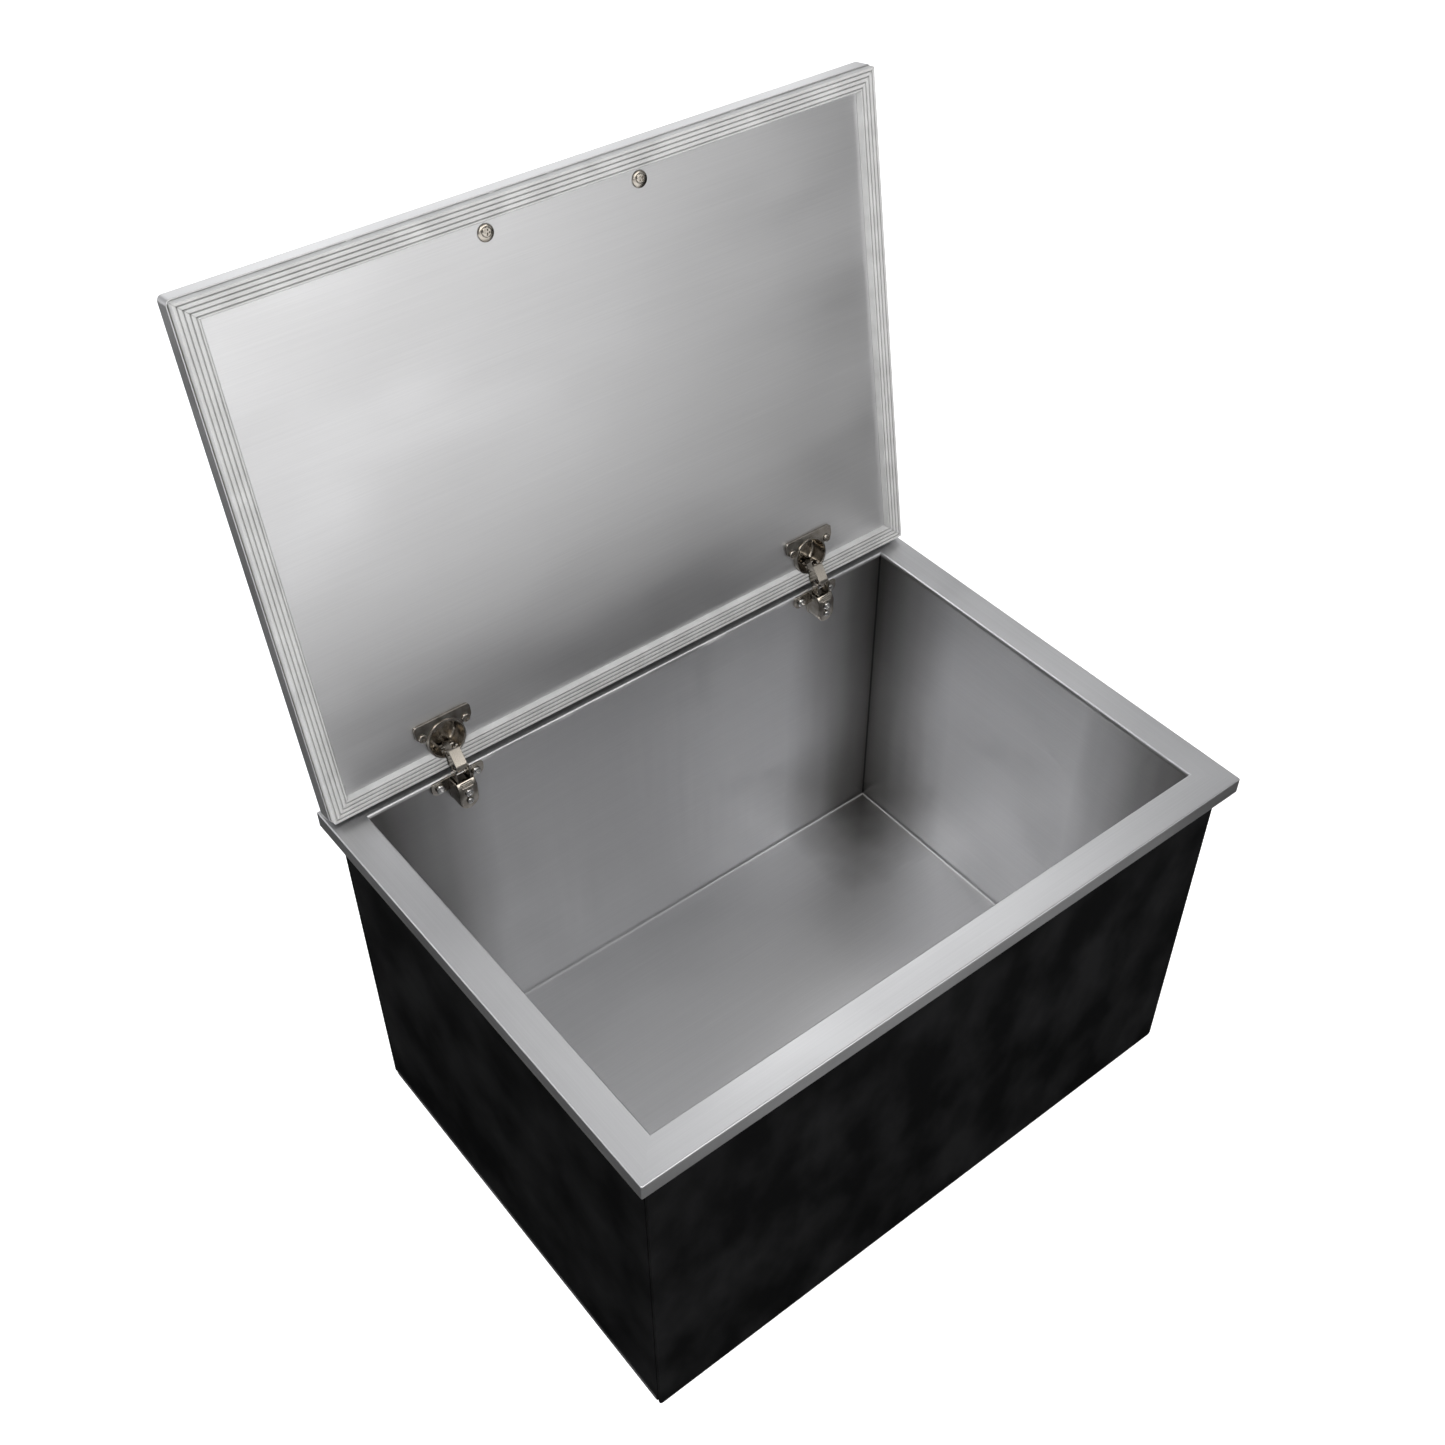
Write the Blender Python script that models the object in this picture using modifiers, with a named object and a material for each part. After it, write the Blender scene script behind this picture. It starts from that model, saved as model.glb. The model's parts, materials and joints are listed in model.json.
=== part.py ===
"""Drop in bin with an insulated body and a lid on two cup hinges.

X runs along the front, Y from the front to the back and Z up. The origin is on the underside of
the base, below the middle of the flange. The lid stands open, as it rests against its hinges.
"""

from math import atan2, cos, pi, radians, sin, tan

import bmesh
import bpy
from mathutils import Matrix, Vector

# General
CLEARANCE = 0.0003
CUT_OVERRUN = 0.002
MERGE_DISTANCE = 0.000003

# Basin and flange
FLANGE_LENGTH = 0.575
FLANGE_DEPTH = 0.413
FLANGE_STRIP = 0.028
FLANGE_CORNER = 0.0025
FLANGE_BEND = 0.0018
LIP_DEPTH = 0.014
STEEL_SHEET = 0.0012
BASIN_DEPTH = 0.305
BASIN_FLOOR = 0.025

# Jacket
JACKET_INSET = 0.0105
JACKET_SHEET = 0.002
JACKET_ROUND = 0.0014

# Drain
DRAIN_FROM_LEFT = 0.060
DRAIN_BORE_RADIUS = 0.0125
DRAIN_TAIL_RADIUS = 0.0160
DRAIN_FLANGE_RADIUS = 0.0270
DRAIN_FLANGE_HEIGHT = 0.0035
DRAIN_FLANGE_CHAMFER = 0.0010
DRAIN_TAIL_SHORT = 0.0005
DRAIN_GASKET_HEIGHT = 0.0010
NUT_RADIUS = 0.0225
NUT_HEIGHT = 0.0060
STRAINER_RADIUS = 0.0185
STRAINER_HEIGHT = 0.0012
STRAINER_HOLE_RADIUS = 0.0019
STRAINER_RING_RADIUS = 0.0090
STRAINER_HOLES = 8
KNOB_RADIUS = 0.0034
KNOB_NECK_RADIUS = 0.0020
KNOB_HEIGHT = 0.0070
KNOB_HEAD_HEIGHT = 0.0030

# Lid, measured from the gasket's hinge side edge and from the gasket's face
LID_OPEN_ANGLE = radians(100)
LID_SIDE_MARGIN = 0.0025
LID_FRONT_MARGIN = 0.0045
LID_SEAT_REACH = 0.0250
LID_SEAT_GAP = 0.0004
LID_OPEN_SETBACK = 0.0005
LID_OPEN_RISE = 0.0066
LID_THICKNESS = 0.0210
GASKET_WIDTH = 0.0150
GASKET_HEIGHT = 0.0086
GASKET_ROUND = 0.0025
GASKET_SEAT_WIDTH = 0.0100
RIB_PITCH = 0.0030
RIB_GROOVE_WIDTH = 0.0012
RIB_GROOVE_DEPTH = 0.0012
RIB_FIRST_GROOVE = 0.0024
RIB_GROOVES = 4
PAN_OVERHANG = 0.00175
PAN_SHEET = 0.0010
PAN_RETURN_WIDTH = 0.0080
PAN_HEIGHT = 0.0120
PAN_CORNER = 0.0060
PAN_BEND = 0.0012
INNER_PANEL_DEPTH = 0.0045
INNER_PANEL_SHEET = 0.0010

# Cup hinge, each set out from the hinge's own middle plane
HINGE_FROM_LID_END = 0.103
LINK_PIN_ALONG = 0.0120
LINK_PIN_DEPTH = 0.0030
FORK_PIN_ALONG = 0.0125
FORK_PIN_DEPTH = 0.0085
FORK_FLOAT_BACK = 0.00113
FORK_FLOAT_UP = 0.00121
ARM_FORK_PIN_OFF = 0.0090
ARM_FORK_PIN_RISE = 0.0100
LINK_TURN_SHARE = 0.5
PIN_RADIUS = 0.0012

OUTER_LINK_HALF_WIDTH = 0.00485
OUTER_LINK_CHEEK = 0.0013
OUTER_LINK_EYE = 0.0023
OUTER_LINK_STRAP_RISE = 0.0105
OUTER_LINK_STRAP = 0.0012
OUTER_LINK_RISER_START = 0.0086
OUTER_LINK_RISER_END = 0.0155

INNER_LINK_HALF_WIDTH = 0.0026
INNER_LINK_EYE = 0.0025
INNER_LINK_BAR = 0.0019
FORK_UPPER_INSIDE = 0.0022
FORK_LOWER_INSIDE = 0.0026
FORK_PRONG = 0.0012
FORK_THROAT = 0.0030
FORK_REACH = 0.0008

NOSE_CHEEK_INSIDE = 0.0052
NOSE_CHEEK = 0.0013
ARM_HALF_WIDTH = 0.0085
ARM_SHEET = 0.0012
ARM_TOP_OFF = 0.0135
ARM_BODY_OFF = 0.0172
ARM_TOP_DROP = 0.0005
ARM_STEP_DROP = 0.0060
ARM_LENGTH = 0.0270
ARM_WALL_GAP = 0.0021
ARM_NOSE_ROUND = 0.0022
ARM_SLOT_RADIUS = 0.0024

HINGE_PLATE_HALF_WIDTH = 0.0235
HINGE_PLATE_SHEET = 0.0015
HINGE_PLATE_TOP_DROP = 0.0010
HINGE_PLATE_EAR_HEIGHT = 0.0130
HINGE_PLATE_TONGUE = 0.0280
HINGE_BRIDGE_HALF_WIDTH = 0.0046
HINGE_BRIDGE_TOP_DROP = 0.0030
HINGE_BRIDGE_BOTTOM_DROP = 0.0225
HINGE_BRIDGE_OFF = 0.0120

HINGE_SCREW_SPREAD = 0.0160
HINGE_SCREW_DROP = 0.0082
HINGE_SCREW_RADIUS = 0.0020
HINGE_SCREW_HEAD_RADIUS = 0.0040
HINGE_SCREW_HEAD = 0.0018
HINGE_SCREW_TAIL = 0.0010
SLOT_SCREW_DROP = 0.0100
SLOT_SCREW_HEAD_RADIUS = 0.0034
ADJUSTING_SCREW_DROP = 0.0185
ADJUSTING_SCREW_HEAD_RADIUS = 0.0028
ARM_SCREW_RADIUS = 0.0019
ARM_SCREW_HEAD = 0.0014
ARM_SCREW_BITE = 0.0060

NUT_PLATE_HALF_WIDTH = 0.0210
NUT_PLATE_HEIGHT = 0.0120
NUT_PLATE_SHEET = 0.0030

CUP_CENTRE_ALONG = 0.0245
CUP_INNER_RADIUS = 0.0150
CUP_OUTER_RADIUS = 0.0165
CUP_RIM_DEPTH = 0.0007
CUP_DEPTH = 0.0160
CUP_FLOOR = 0.0010
CUP_LUG_INSIDE = 0.0052
CUP_LUG = 0.0018
CUP_LUG_START = 0.0096
CUP_LUG_END = 0.0160
CUP_NOTCH_DEPTH = 0.0056
CUP_FORK_NOTCH_DEPTH = 0.0108
CUP_STUD_INSIDE = 0.0029
CUP_PLATE_HALF_WIDTH = 0.0245
CUP_PLATE_START = 0.0250
CUP_PLATE_END = 0.0450
CUP_PLATE_FACE = 0.0015
CUP_PLATE_EAR = 0.0080
CUP_PLATE_CORNER = 0.0020
STRAP_NOTCH_START = 0.0010
STRAP_NOTCH_DEPTH = 0.0042
CUP_SCREW_SPREAD = 0.0190
CUP_SCREW_ALONG = 0.0330
CUP_SCREW_RADIUS = 0.0018
CUP_SCREW_HEAD_RADIUS = 0.0036
CUP_SCREW_HEAD = 0.0010
CUP_SCREW_LENGTH = 0.0120

# Handle
HANDLE_HOLE_SPACING = 0.128
HANDLE_FROM_FRONT = 0.0235
HANDLE_ROD_RADIUS = 0.0050
HANDLE_PROJECTION = 0.0320
HANDLE_BEND_RADIUS = 0.0140
HANDLE_SCREW_RADIUS = 0.0020
HANDLE_SCREW_HEAD_RADIUS = 0.0038
HANDLE_SCREW_HEAD = 0.0011
HANDLE_SCREW_BITE = 0.0090
CUP_WASHER_RADIUS = 0.0065
CUP_WASHER_TOP_RADIUS = 0.0050
CUP_WASHER_HEIGHT = 0.0013

# Smoothness of round shapes
FINE_SIDES = 48
ROUND_SIDES = 24
SMALL_SIDES = 12
NUT_SIDES = 6
ARC_STEPS = 5
FILLET_STEPS = 4
SMOOTH_ANGLE = radians(35)

# Places that follow from the sizes above
BASIN_HALF_LENGTH = FLANGE_LENGTH / 2 - FLANGE_STRIP
BASIN_HALF_DEPTH = FLANGE_DEPTH / 2 - FLANGE_STRIP
BIN_HEIGHT = BASIN_FLOOR + BASIN_DEPTH
FLANGE_UNDERSIDE = BIN_HEIGHT - STEEL_SHEET
JACKET_HALF_LENGTH = FLANGE_LENGTH / 2 - JACKET_INSET
JACKET_HALF_DEPTH = FLANGE_DEPTH / 2 - JACKET_INSET
JACKET_TOP = FLANGE_UNDERSIDE - CLEARANCE
DRAIN_X = DRAIN_FROM_LEFT - BASIN_HALF_LENGTH
DRAIN_FLANGE_BOTTOM = BASIN_FLOOR + DRAIN_GASKET_HEIGHT + 2 * CLEARANCE
DRAIN_FLANGE_TOP = DRAIN_FLANGE_BOTTOM + DRAIN_FLANGE_HEIGHT
STRAINER_SEAT = DRAIN_FLANGE_TOP - STRAINER_HEIGHT - CLEARANCE
DRAIN_HOLE_RADIUS = DRAIN_TAIL_RADIUS + CLEARANCE

LID_HALF_LENGTH = FLANGE_LENGTH / 2 - LID_SIDE_MARGIN
HINGE_FROM_MIDDLE = LID_HALF_LENGTH - HINGE_FROM_LID_END
LID_DEPTH = FLANGE_DEPTH - FLANGE_STRIP + LID_SEAT_REACH - LID_FRONT_MARGIN
PAN_RIM_DEPTH = LID_THICKNESS - PAN_HEIGHT
INNER_PANEL_EDGE = GASKET_SEAT_WIDTH + CLEARANCE
HANDLE_ALONG = LID_DEPTH - HANDLE_FROM_FRONT
CUP_POCKET_RADIUS = CUP_OUTER_RADIUS + CLEARANCE
PIN_HOLE_RADIUS = PIN_RADIUS + CLEARANCE
NOSE_HALF_WIDTH = NOSE_CHEEK_INSIDE + NOSE_CHEEK


# Hinge layout, in the plane across the hinge, from the back wall's face and the flange's top
def turn(vector, angle):
    """A flat vector turned by an angle."""
    across = vector.x * cos(angle) - vector.y * sin(angle)
    up = vector.x * sin(angle) + vector.y * cos(angle)
    return Vector((across, up))


def direction(angle):
    return Vector((cos(angle), sin(angle)))


LID_REST_ANGLE = pi - LID_OPEN_ANGLE


def open_lid_point(along, depth):
    """Place of a lid point while the lid stands open."""
    corner = Vector((LID_OPEN_SETBACK, LID_OPEN_RISE))
    return corner + direction(LID_REST_ANGLE) * along - direction(LID_REST_ANGLE + pi / 2) * depth


def closed_lid_point(along, depth):
    """Place of a lid point while the lid lies on the flange."""
    return Vector((LID_SEAT_REACH - along, LID_SEAT_GAP + depth))


def arc_centre(start, end, angle):
    """Centre about which a turn by angle takes start to end."""
    across = end - start
    return (start + end) / 2 + Vector((-across.y, across.x)) / (2 * tan(angle / 2))


LINK_TURN = -LINK_TURN_SHARE * LID_OPEN_ANGLE
LID_PIN = open_lid_point(LINK_PIN_ALONG, LINK_PIN_DEPTH)
ARM_PIN = arc_centre(LID_PIN, closed_lid_point(LINK_PIN_ALONG, LINK_PIN_DEPTH), LINK_TURN)
OUTER_LINK_LENGTH = (LID_PIN - ARM_PIN).length
OUTER_LINK_ANGLE = atan2(LID_PIN.y - ARM_PIN.y, LID_PIN.x - ARM_PIN.x)
ARM_FORK_PIN = Vector((-ARM_FORK_PIN_OFF, ARM_FORK_PIN_RISE))
FORK_END = open_lid_point(FORK_PIN_ALONG, FORK_PIN_DEPTH) + Vector((FORK_FLOAT_BACK, FORK_FLOAT_UP))
INNER_LINK_LENGTH = (FORK_END - ARM_FORK_PIN).length
INNER_LINK_ANGLE = atan2(FORK_END.y - ARM_FORK_PIN.y, FORK_END.x - ARM_FORK_PIN.x)


# Modelling helpers
def clear_scene():
    for item in list(bpy.data.objects):
        bpy.data.objects.remove(item, do_unlink=True)


def new_collection(name):
    collection = bpy.data.collections.new(name)
    bpy.context.scene.collection.children.link(collection)
    return collection


def add_mesh_object(name, shape):
    """Make an object from a bmesh, with all faces pointing out."""
    bmesh.ops.recalc_face_normals(shape, faces=shape.faces)
    mesh = bpy.data.meshes.new(name)
    shape.to_mesh(mesh)
    shape.free()
    item = bpy.data.objects.new(name, mesh)
    TOOLS.objects.link(item)
    return item


def box(name, low, high):
    """Box between two corners."""
    low, high = Vector(low), Vector(high)
    shape = bmesh.new()
    bmesh.ops.create_cube(shape, size=1)
    bmesh.ops.scale(shape, vec=high - low, verts=shape.verts)
    bmesh.ops.translate(shape, vec=(high + low) / 2, verts=shape.verts)
    return add_mesh_object(name, shape)


AXES = {"X": Matrix.Rotation(pi / 2, 4, "Y"), "Y": Matrix.Rotation(-pi / 2, 4, "X"), "Z": Matrix.Identity(4)}


def cylinder(name, radius, start, end, axis="Z", sides=ROUND_SIDES):
    """Cylinder from one end's centre to the other's, along an axis."""
    start, end = Vector(start), Vector(end)
    shape = bmesh.new()
    bmesh.ops.create_cone(
        shape, cap_ends=True, segments=sides, radius1=radius, radius2=radius, depth=(end - start).length
    )
    bmesh.ops.transform(shape, matrix=Matrix.Translation((start + end) / 2) @ AXES[axis], verts=shape.verts)
    return add_mesh_object(name, shape)


def curve_to_mesh(name, curve, matrix):
    """Turn a curve into a welded mesh object placed by a matrix."""
    source = bpy.data.objects.new(name, curve)
    TOOLS.objects.link(source)
    source.matrix_world = matrix
    bpy.context.view_layer.update()
    evaluated = source.evaluated_get(bpy.context.evaluated_depsgraph_get())
    mesh = bpy.data.meshes.new_from_object(evaluated)
    shape = bmesh.new()
    shape.from_mesh(mesh)
    bmesh.ops.transform(shape, matrix=source.matrix_world, verts=shape.verts)
    bmesh.ops.remove_doubles(shape, verts=shape.verts, dist=MERGE_DISTANCE)
    bpy.data.objects.remove(source, do_unlink=True)
    return add_mesh_object(name, shape)


PLANES = {
    "XY": Matrix.Identity(4),
    "XZ": Matrix.Rotation(pi / 2, 4, "X"),
    "YZ": Matrix(((0, 0, 1, 0), (1, 0, 0, 0), (0, 1, 0, 0), (0, 0, 0, 1))),
}
NORMAL_SIGN = {"XY": 1, "XZ": -1, "YZ": 1}


def filleted(corners):
    """Outline points from corners given as two coordinates and a fillet radius."""
    points = []
    count = len(corners)
    for index, (across, up, radius) in enumerate(corners):
        here = Vector((across, up))
        before = Vector(corners[index - 1][:2]) - here
        after = Vector(corners[(index + 1) % count][:2]) - here
        if radius == 0:
            points.append(here)
            continue
        half = before.angle(after) / 2
        reach = min(radius / tan(half), before.length / 2, after.length / 2)
        radius = reach * tan(half)
        middle = here + (before.normalized() + after.normalized()).normalized() * radius / sin(half)
        start = here + before.normalized() * reach - middle
        sweep = start.angle_signed(here + after.normalized() * reach - middle)
        for step in range(FILLET_STEPS + 1):
            points.append(middle + turn(start, -sweep * step / FILLET_STEPS))
    pairs = zip(points[-1:] + points, points)
    return [here for before, here in pairs if (here - before).length > MERGE_DISTANCE]


def outline(name, corners, low, high, plane="XY"):
    """Flat outline with filleted corners, extruded between two levels along its normal."""
    curve = bpy.data.curves.new(name, "CURVE")
    curve.dimensions = "2D"
    curve.fill_mode = "BOTH"
    curve.extrude = abs(high - low) / 2
    points = filleted(corners)
    spline = curve.splines.new("POLY")
    spline.points.add(len(points) - 1)
    for target, point in zip(spline.points, points):
        target.co = (point.x, point.y, 0, 1)
    spline.use_cyclic_u = True
    level = NORMAL_SIGN[plane] * (low + high) / 2
    return curve_to_mesh(name, curve, PLANES[plane] @ Matrix.Translation((0, 0, level)))


def turned(name, profile, centre, sides=ROUND_SIDES):
    """Solid of revolution about Z, from an outline of radius and height."""
    shape = bmesh.new()
    rings = [shape.verts.new((radius, 0, height)) for radius, height in profile]
    for start, end in zip(rings, rings[1:]):
        shape.edges.new((start, end))
    if profile[0][0] > 0:
        shape.edges.new((rings[-1], rings[0]))
    mesh = bpy.data.meshes.new(name)
    shape.to_mesh(mesh)
    shape.free()
    item = bpy.data.objects.new(name, mesh)
    TOOLS.objects.link(item)
    screw = item.modifiers.new("turn", "SCREW")
    screw.steps = sides
    screw.render_steps = sides
    screw.use_merge_vertices = True
    screw.merge_threshold = MERGE_DISTANCE
    bake(item)
    shape = bmesh.new()
    shape.from_mesh(item.data)
    bmesh.ops.remove_doubles(shape, verts=shape.verts, dist=MERGE_DISTANCE)
    bmesh.ops.dissolve_degenerate(shape, edges=shape.edges, dist=MERGE_DISTANCE)
    bmesh.ops.translate(shape, vec=centre, verts=shape.verts)
    bpy.data.objects.remove(item, do_unlink=True)
    return add_mesh_object(name, shape)


def bake(item):
    """Replace an object's mesh by its modified mesh."""
    bpy.context.view_layer.update()
    evaluated = item.evaluated_get(bpy.context.evaluated_depsgraph_get())
    mesh = bpy.data.meshes.new_from_object(evaluated)
    item.modifiers.clear()
    item.data = mesh
    return item


def combine(item, operation, tools):
    """Apply an exact Boolean with each tool in turn, and remove the tools."""
    for tool in tools:
        modifier = item.modifiers.new(operation.lower(), "BOOLEAN")
        modifier.operation = operation
        modifier.solver = "EXACT"
        modifier.object = tool
    bake(item)
    for tool in tools:
        bpy.data.objects.remove(tool, do_unlink=True)
    return item


def cut(item, *tools):
    return combine(item, "DIFFERENCE", tools)


def join(item, *tools):
    return combine(item, "UNION", tools)


def keep_inside(item, tool):
    return combine(item, "INTERSECT", [tool])


def shifted(item, offset):
    """Move an object's mesh."""
    item.data.transform(Matrix.Translation(offset))
    return item


def round_edges(item, radius, chosen, segments=2):
    """Round the edges whose middle and direction pass a test."""
    shape = bmesh.new()
    shape.from_mesh(item.data)
    edges = []
    for edge in shape.edges:
        start, end = edge.verts[0].co, edge.verts[1].co
        if chosen((start + end) / 2, (end - start).normalized()):
            edges.append(edge)
    bmesh.ops.bevel(
        shape,
        geom=edges,
        offset=radius,
        offset_type="OFFSET",
        segments=segments,
        profile=0.5,
        affect="EDGES",
        material=-1,
    )
    bmesh.ops.recalc_face_normals(shape, faces=shape.faces)
    shape.to_mesh(item.data)
    shape.free()
    return item


def upright(middle, along):
    return abs(along.z) > SMOOTH_ANGLE


def material(name, colour, roughness, metallic):
    made = bpy.data.materials.new(name)
    made.use_nodes = True
    surface = made.node_tree.nodes["Principled BSDF"]
    surface.inputs["Base Color"].default_value = (*colour, 1)
    surface.inputs["Roughness"].default_value = roughness
    surface.inputs["Metallic"].default_value = metallic
    made.diffuse_color = (*colour, 1)
    return made


def finish(item, finish_of, parent=None, location=(0, 0, 0)):
    """Give an object its material, shading, place and collection."""
    item.data.materials.clear()
    item.data.materials.append(finish_of(item.name))
    item.data.shade_smooth()
    item.data.set_sharp_from_angle(angle=SMOOTH_ANGLE)
    item.parent = parent
    item.location = location
    TOOLS.objects.unlink(item)
    PART.objects.link(item)
    return item


def brushed_steel(name):
    return material(name, (0.62, 0.61, 0.59), 0.32, 1.0)


def polished_steel(name):
    return material(name, (0.48, 0.48, 0.48), 0.18, 1.0)


def black_coating(name):
    return material(name, (0.010, 0.010, 0.011), 0.62, 0.0)


def grey_rubber(name):
    return material(name, (0.55, 0.55, 0.53), 0.70, 0.0)


def foam(name):
    return material(name, (0.80, 0.74, 0.52), 0.90, 0.0)


def black_rubber(name):
    return material(name, (0.02, 0.02, 0.02), 0.75, 0.0)


# Body of the bin
def hinge_places():
    """Middle of each hinge, as a name ending and a place along X."""
    return (("left", -HINGE_FROM_MIDDLE), ("right", HINGE_FROM_MIDDLE))


def wall_point(middle, off=0, drop=0):
    """Point near the back wall, from its distance off the wall and below the flange's top."""
    return Vector((middle, BASIN_HALF_DEPTH - off, BIN_HEIGHT - drop))


def wall_screw_places():
    """Each mounting screw, as a name ending and a place along X."""
    for side, middle in hinge_places():
        yield side + "_outer", middle * (1 + HINGE_SCREW_SPREAD / HINGE_FROM_MIDDLE)
        yield side + "_inner", middle * (1 - HINGE_SCREW_SPREAD / HINGE_FROM_MIDDLE)


def wall_screw_cutters(radius, near, far):
    """Cylinders through the back wall, one for each mounting screw."""
    holes = []
    for _, place in wall_screw_places():
        start, end = wall_point(place, -near, HINGE_SCREW_DROP), wall_point(place, -far, HINGE_SCREW_DROP)
        holes.append(cylinder("hole", radius, start, end, "Y", SMALL_SIDES))
    return holes


def make_basin_and_flange():
    half_length, half_depth = FLANGE_LENGTH / 2, FLANGE_DEPTH / 2
    lip_bottom = BIN_HEIGHT - LIP_DEPTH
    low, high = (-half_length, -half_depth, lip_bottom), (half_length, half_depth, BIN_HEIGHT)
    body = box("basin_and_flange", low, high)
    round_edges(body, FLANGE_CORNER, upright)
    round_edges(body, FLANGE_BEND, lambda middle, along: middle.z > BIN_HEIGHT - CLEARANCE)
    under = box(
        "under",
        (STEEL_SHEET - half_length, STEEL_SHEET - half_depth, lip_bottom - CUT_OVERRUN),
        (half_length - STEEL_SHEET, half_depth - STEEL_SHEET, FLANGE_UNDERSIDE),
    )
    round_edges(under, FLANGE_CORNER - STEEL_SHEET, upright)
    cut(body, under)
    shell_length, shell_depth = BASIN_HALF_LENGTH + STEEL_SHEET, BASIN_HALF_DEPTH + STEEL_SHEET
    shell = box(
        "shell",
        (-shell_length, -shell_depth, BASIN_FLOOR - STEEL_SHEET),
        (shell_length, shell_depth, BIN_HEIGHT - STEEL_SHEET / 2),
    )
    join(body, shell)
    hollow = box(
        "hollow",
        (-BASIN_HALF_LENGTH, -BASIN_HALF_DEPTH, BASIN_FLOOR),
        (BASIN_HALF_LENGTH, BASIN_HALF_DEPTH, BIN_HEIGHT + CUT_OVERRUN),
    )
    drain = drain_cutter(DRAIN_HOLE_RADIUS, BASIN_FLOOR - STEEL_SHEET, BASIN_FLOOR)
    screws = wall_screw_cutters(HINGE_SCREW_RADIUS + CLEARANCE, -CUT_OVERRUN, STEEL_SHEET + CUT_OVERRUN)
    cut(body, hollow, drain, *screws)
    finish(body, brushed_steel)


def drain_cutter(radius, low, high):
    """Cylinder down the drain's middle, past both levels."""
    return cylinder("drain", radius, (DRAIN_X, 0, low - CUT_OVERRUN), (DRAIN_X, 0, high + CUT_OVERRUN))


def jacket_panel(name, low, high, front_of):
    """One black panel, with its outer edges rounded."""
    panel = box(name, low, high)
    round_edges(panel, JACKET_ROUND, front_of)
    finish(panel, black_coating)


def make_jacket():
    length, depth = JACKET_HALF_LENGTH, JACKET_HALF_DEPTH
    inner_length, inner_depth = length - JACKET_SHEET, depth - JACKET_SHEET
    side_depth = inner_depth - CLEARANCE

    def outer_end(middle, along):
        at_face = abs(middle.y) > depth - CLEARANCE
        at_end = abs(middle.x) > length - CLEARANCE
        at_foot = middle.z < CLEARANCE
        return at_face and (at_end or at_foot)

    def outer_foot(middle, along):
        return abs(middle.x) > length - CLEARANCE and middle.z < CLEARANCE

    top = JACKET_TOP
    jacket_panel("jacket_front", (-length, -depth, 0), (length, -inner_depth, top), outer_end)
    jacket_panel("jacket_back", (-length, inner_depth, 0), (length, depth, top), outer_end)
    jacket_panel("jacket_left", (-length, -side_depth, 0), (-inner_length, side_depth, top), outer_foot)
    jacket_panel("jacket_right", (inner_length, -side_depth, 0), (length, side_depth, top), outer_foot)
    base_length, base_depth = inner_length - CLEARANCE, side_depth
    base = box("jacket_base", (-base_length, -base_depth, 0), (base_length, base_depth, JACKET_SHEET))
    cut(base, drain_cutter(DRAIN_HOLE_RADIUS + CLEARANCE, 0, JACKET_SHEET))
    finish(base, black_coating)


def nut_plate_box(name, middle, spare, behind):
    """Nut plate behind the back wall, or with spare room its pocket in the insulation."""
    near = -STEEL_SHEET - CLEARANCE + spare
    far = -STEEL_SHEET - CLEARANCE - NUT_PLATE_SHEET - behind
    half, reach = NUT_PLATE_HEIGHT / 2 + spare, NUT_PLATE_HALF_WIDTH + spare
    low = wall_point(middle - reach, near, HINGE_SCREW_DROP + half)
    high = wall_point(middle + reach, far, HINGE_SCREW_DROP - half)
    return box(name, low, high)


def make_insulation():
    inner_length = BASIN_HALF_LENGTH + STEEL_SHEET + CLEARANCE
    inner_depth = BASIN_HALF_DEPTH + STEEL_SHEET + CLEARANCE
    outer_length = JACKET_HALF_LENGTH - JACKET_SHEET - CLEARANCE
    outer_depth = JACKET_HALF_DEPTH - JACKET_SHEET - CLEARANCE
    bottom, top = JACKET_SHEET + CLEARANCE, JACKET_TOP
    side_depth = inner_depth - CLEARANCE
    front = box("insulation_front", (-outer_length, -outer_depth, bottom), (outer_length, -inner_depth, top))
    back = box("insulation_back", (-outer_length, inner_depth, bottom), (outer_length, outer_depth, top))
    behind = HINGE_SCREW_TAIL + CLEARANCE
    cut(back, *[nut_plate_box("pocket", middle, CLEARANCE, behind) for _, middle in hinge_places()])
    left = box("insulation_left", (-outer_length, -side_depth, bottom), (-inner_length, side_depth, top))
    right = box("insulation_right", (inner_length, -side_depth, bottom), (outer_length, side_depth, top))
    floor_top = BASIN_FLOOR - STEEL_SHEET - CLEARANCE
    floor_length = inner_length - CLEARANCE
    low, high = (-floor_length, -side_depth, bottom), (floor_length, side_depth, floor_top)
    floor = box("insulation_floor", low, high)
    cut(floor, drain_cutter(NUT_RADIUS + CLEARANCE, bottom, floor_top))
    for board in (front, back, left, right, floor):
        finish(board, foam)


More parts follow.
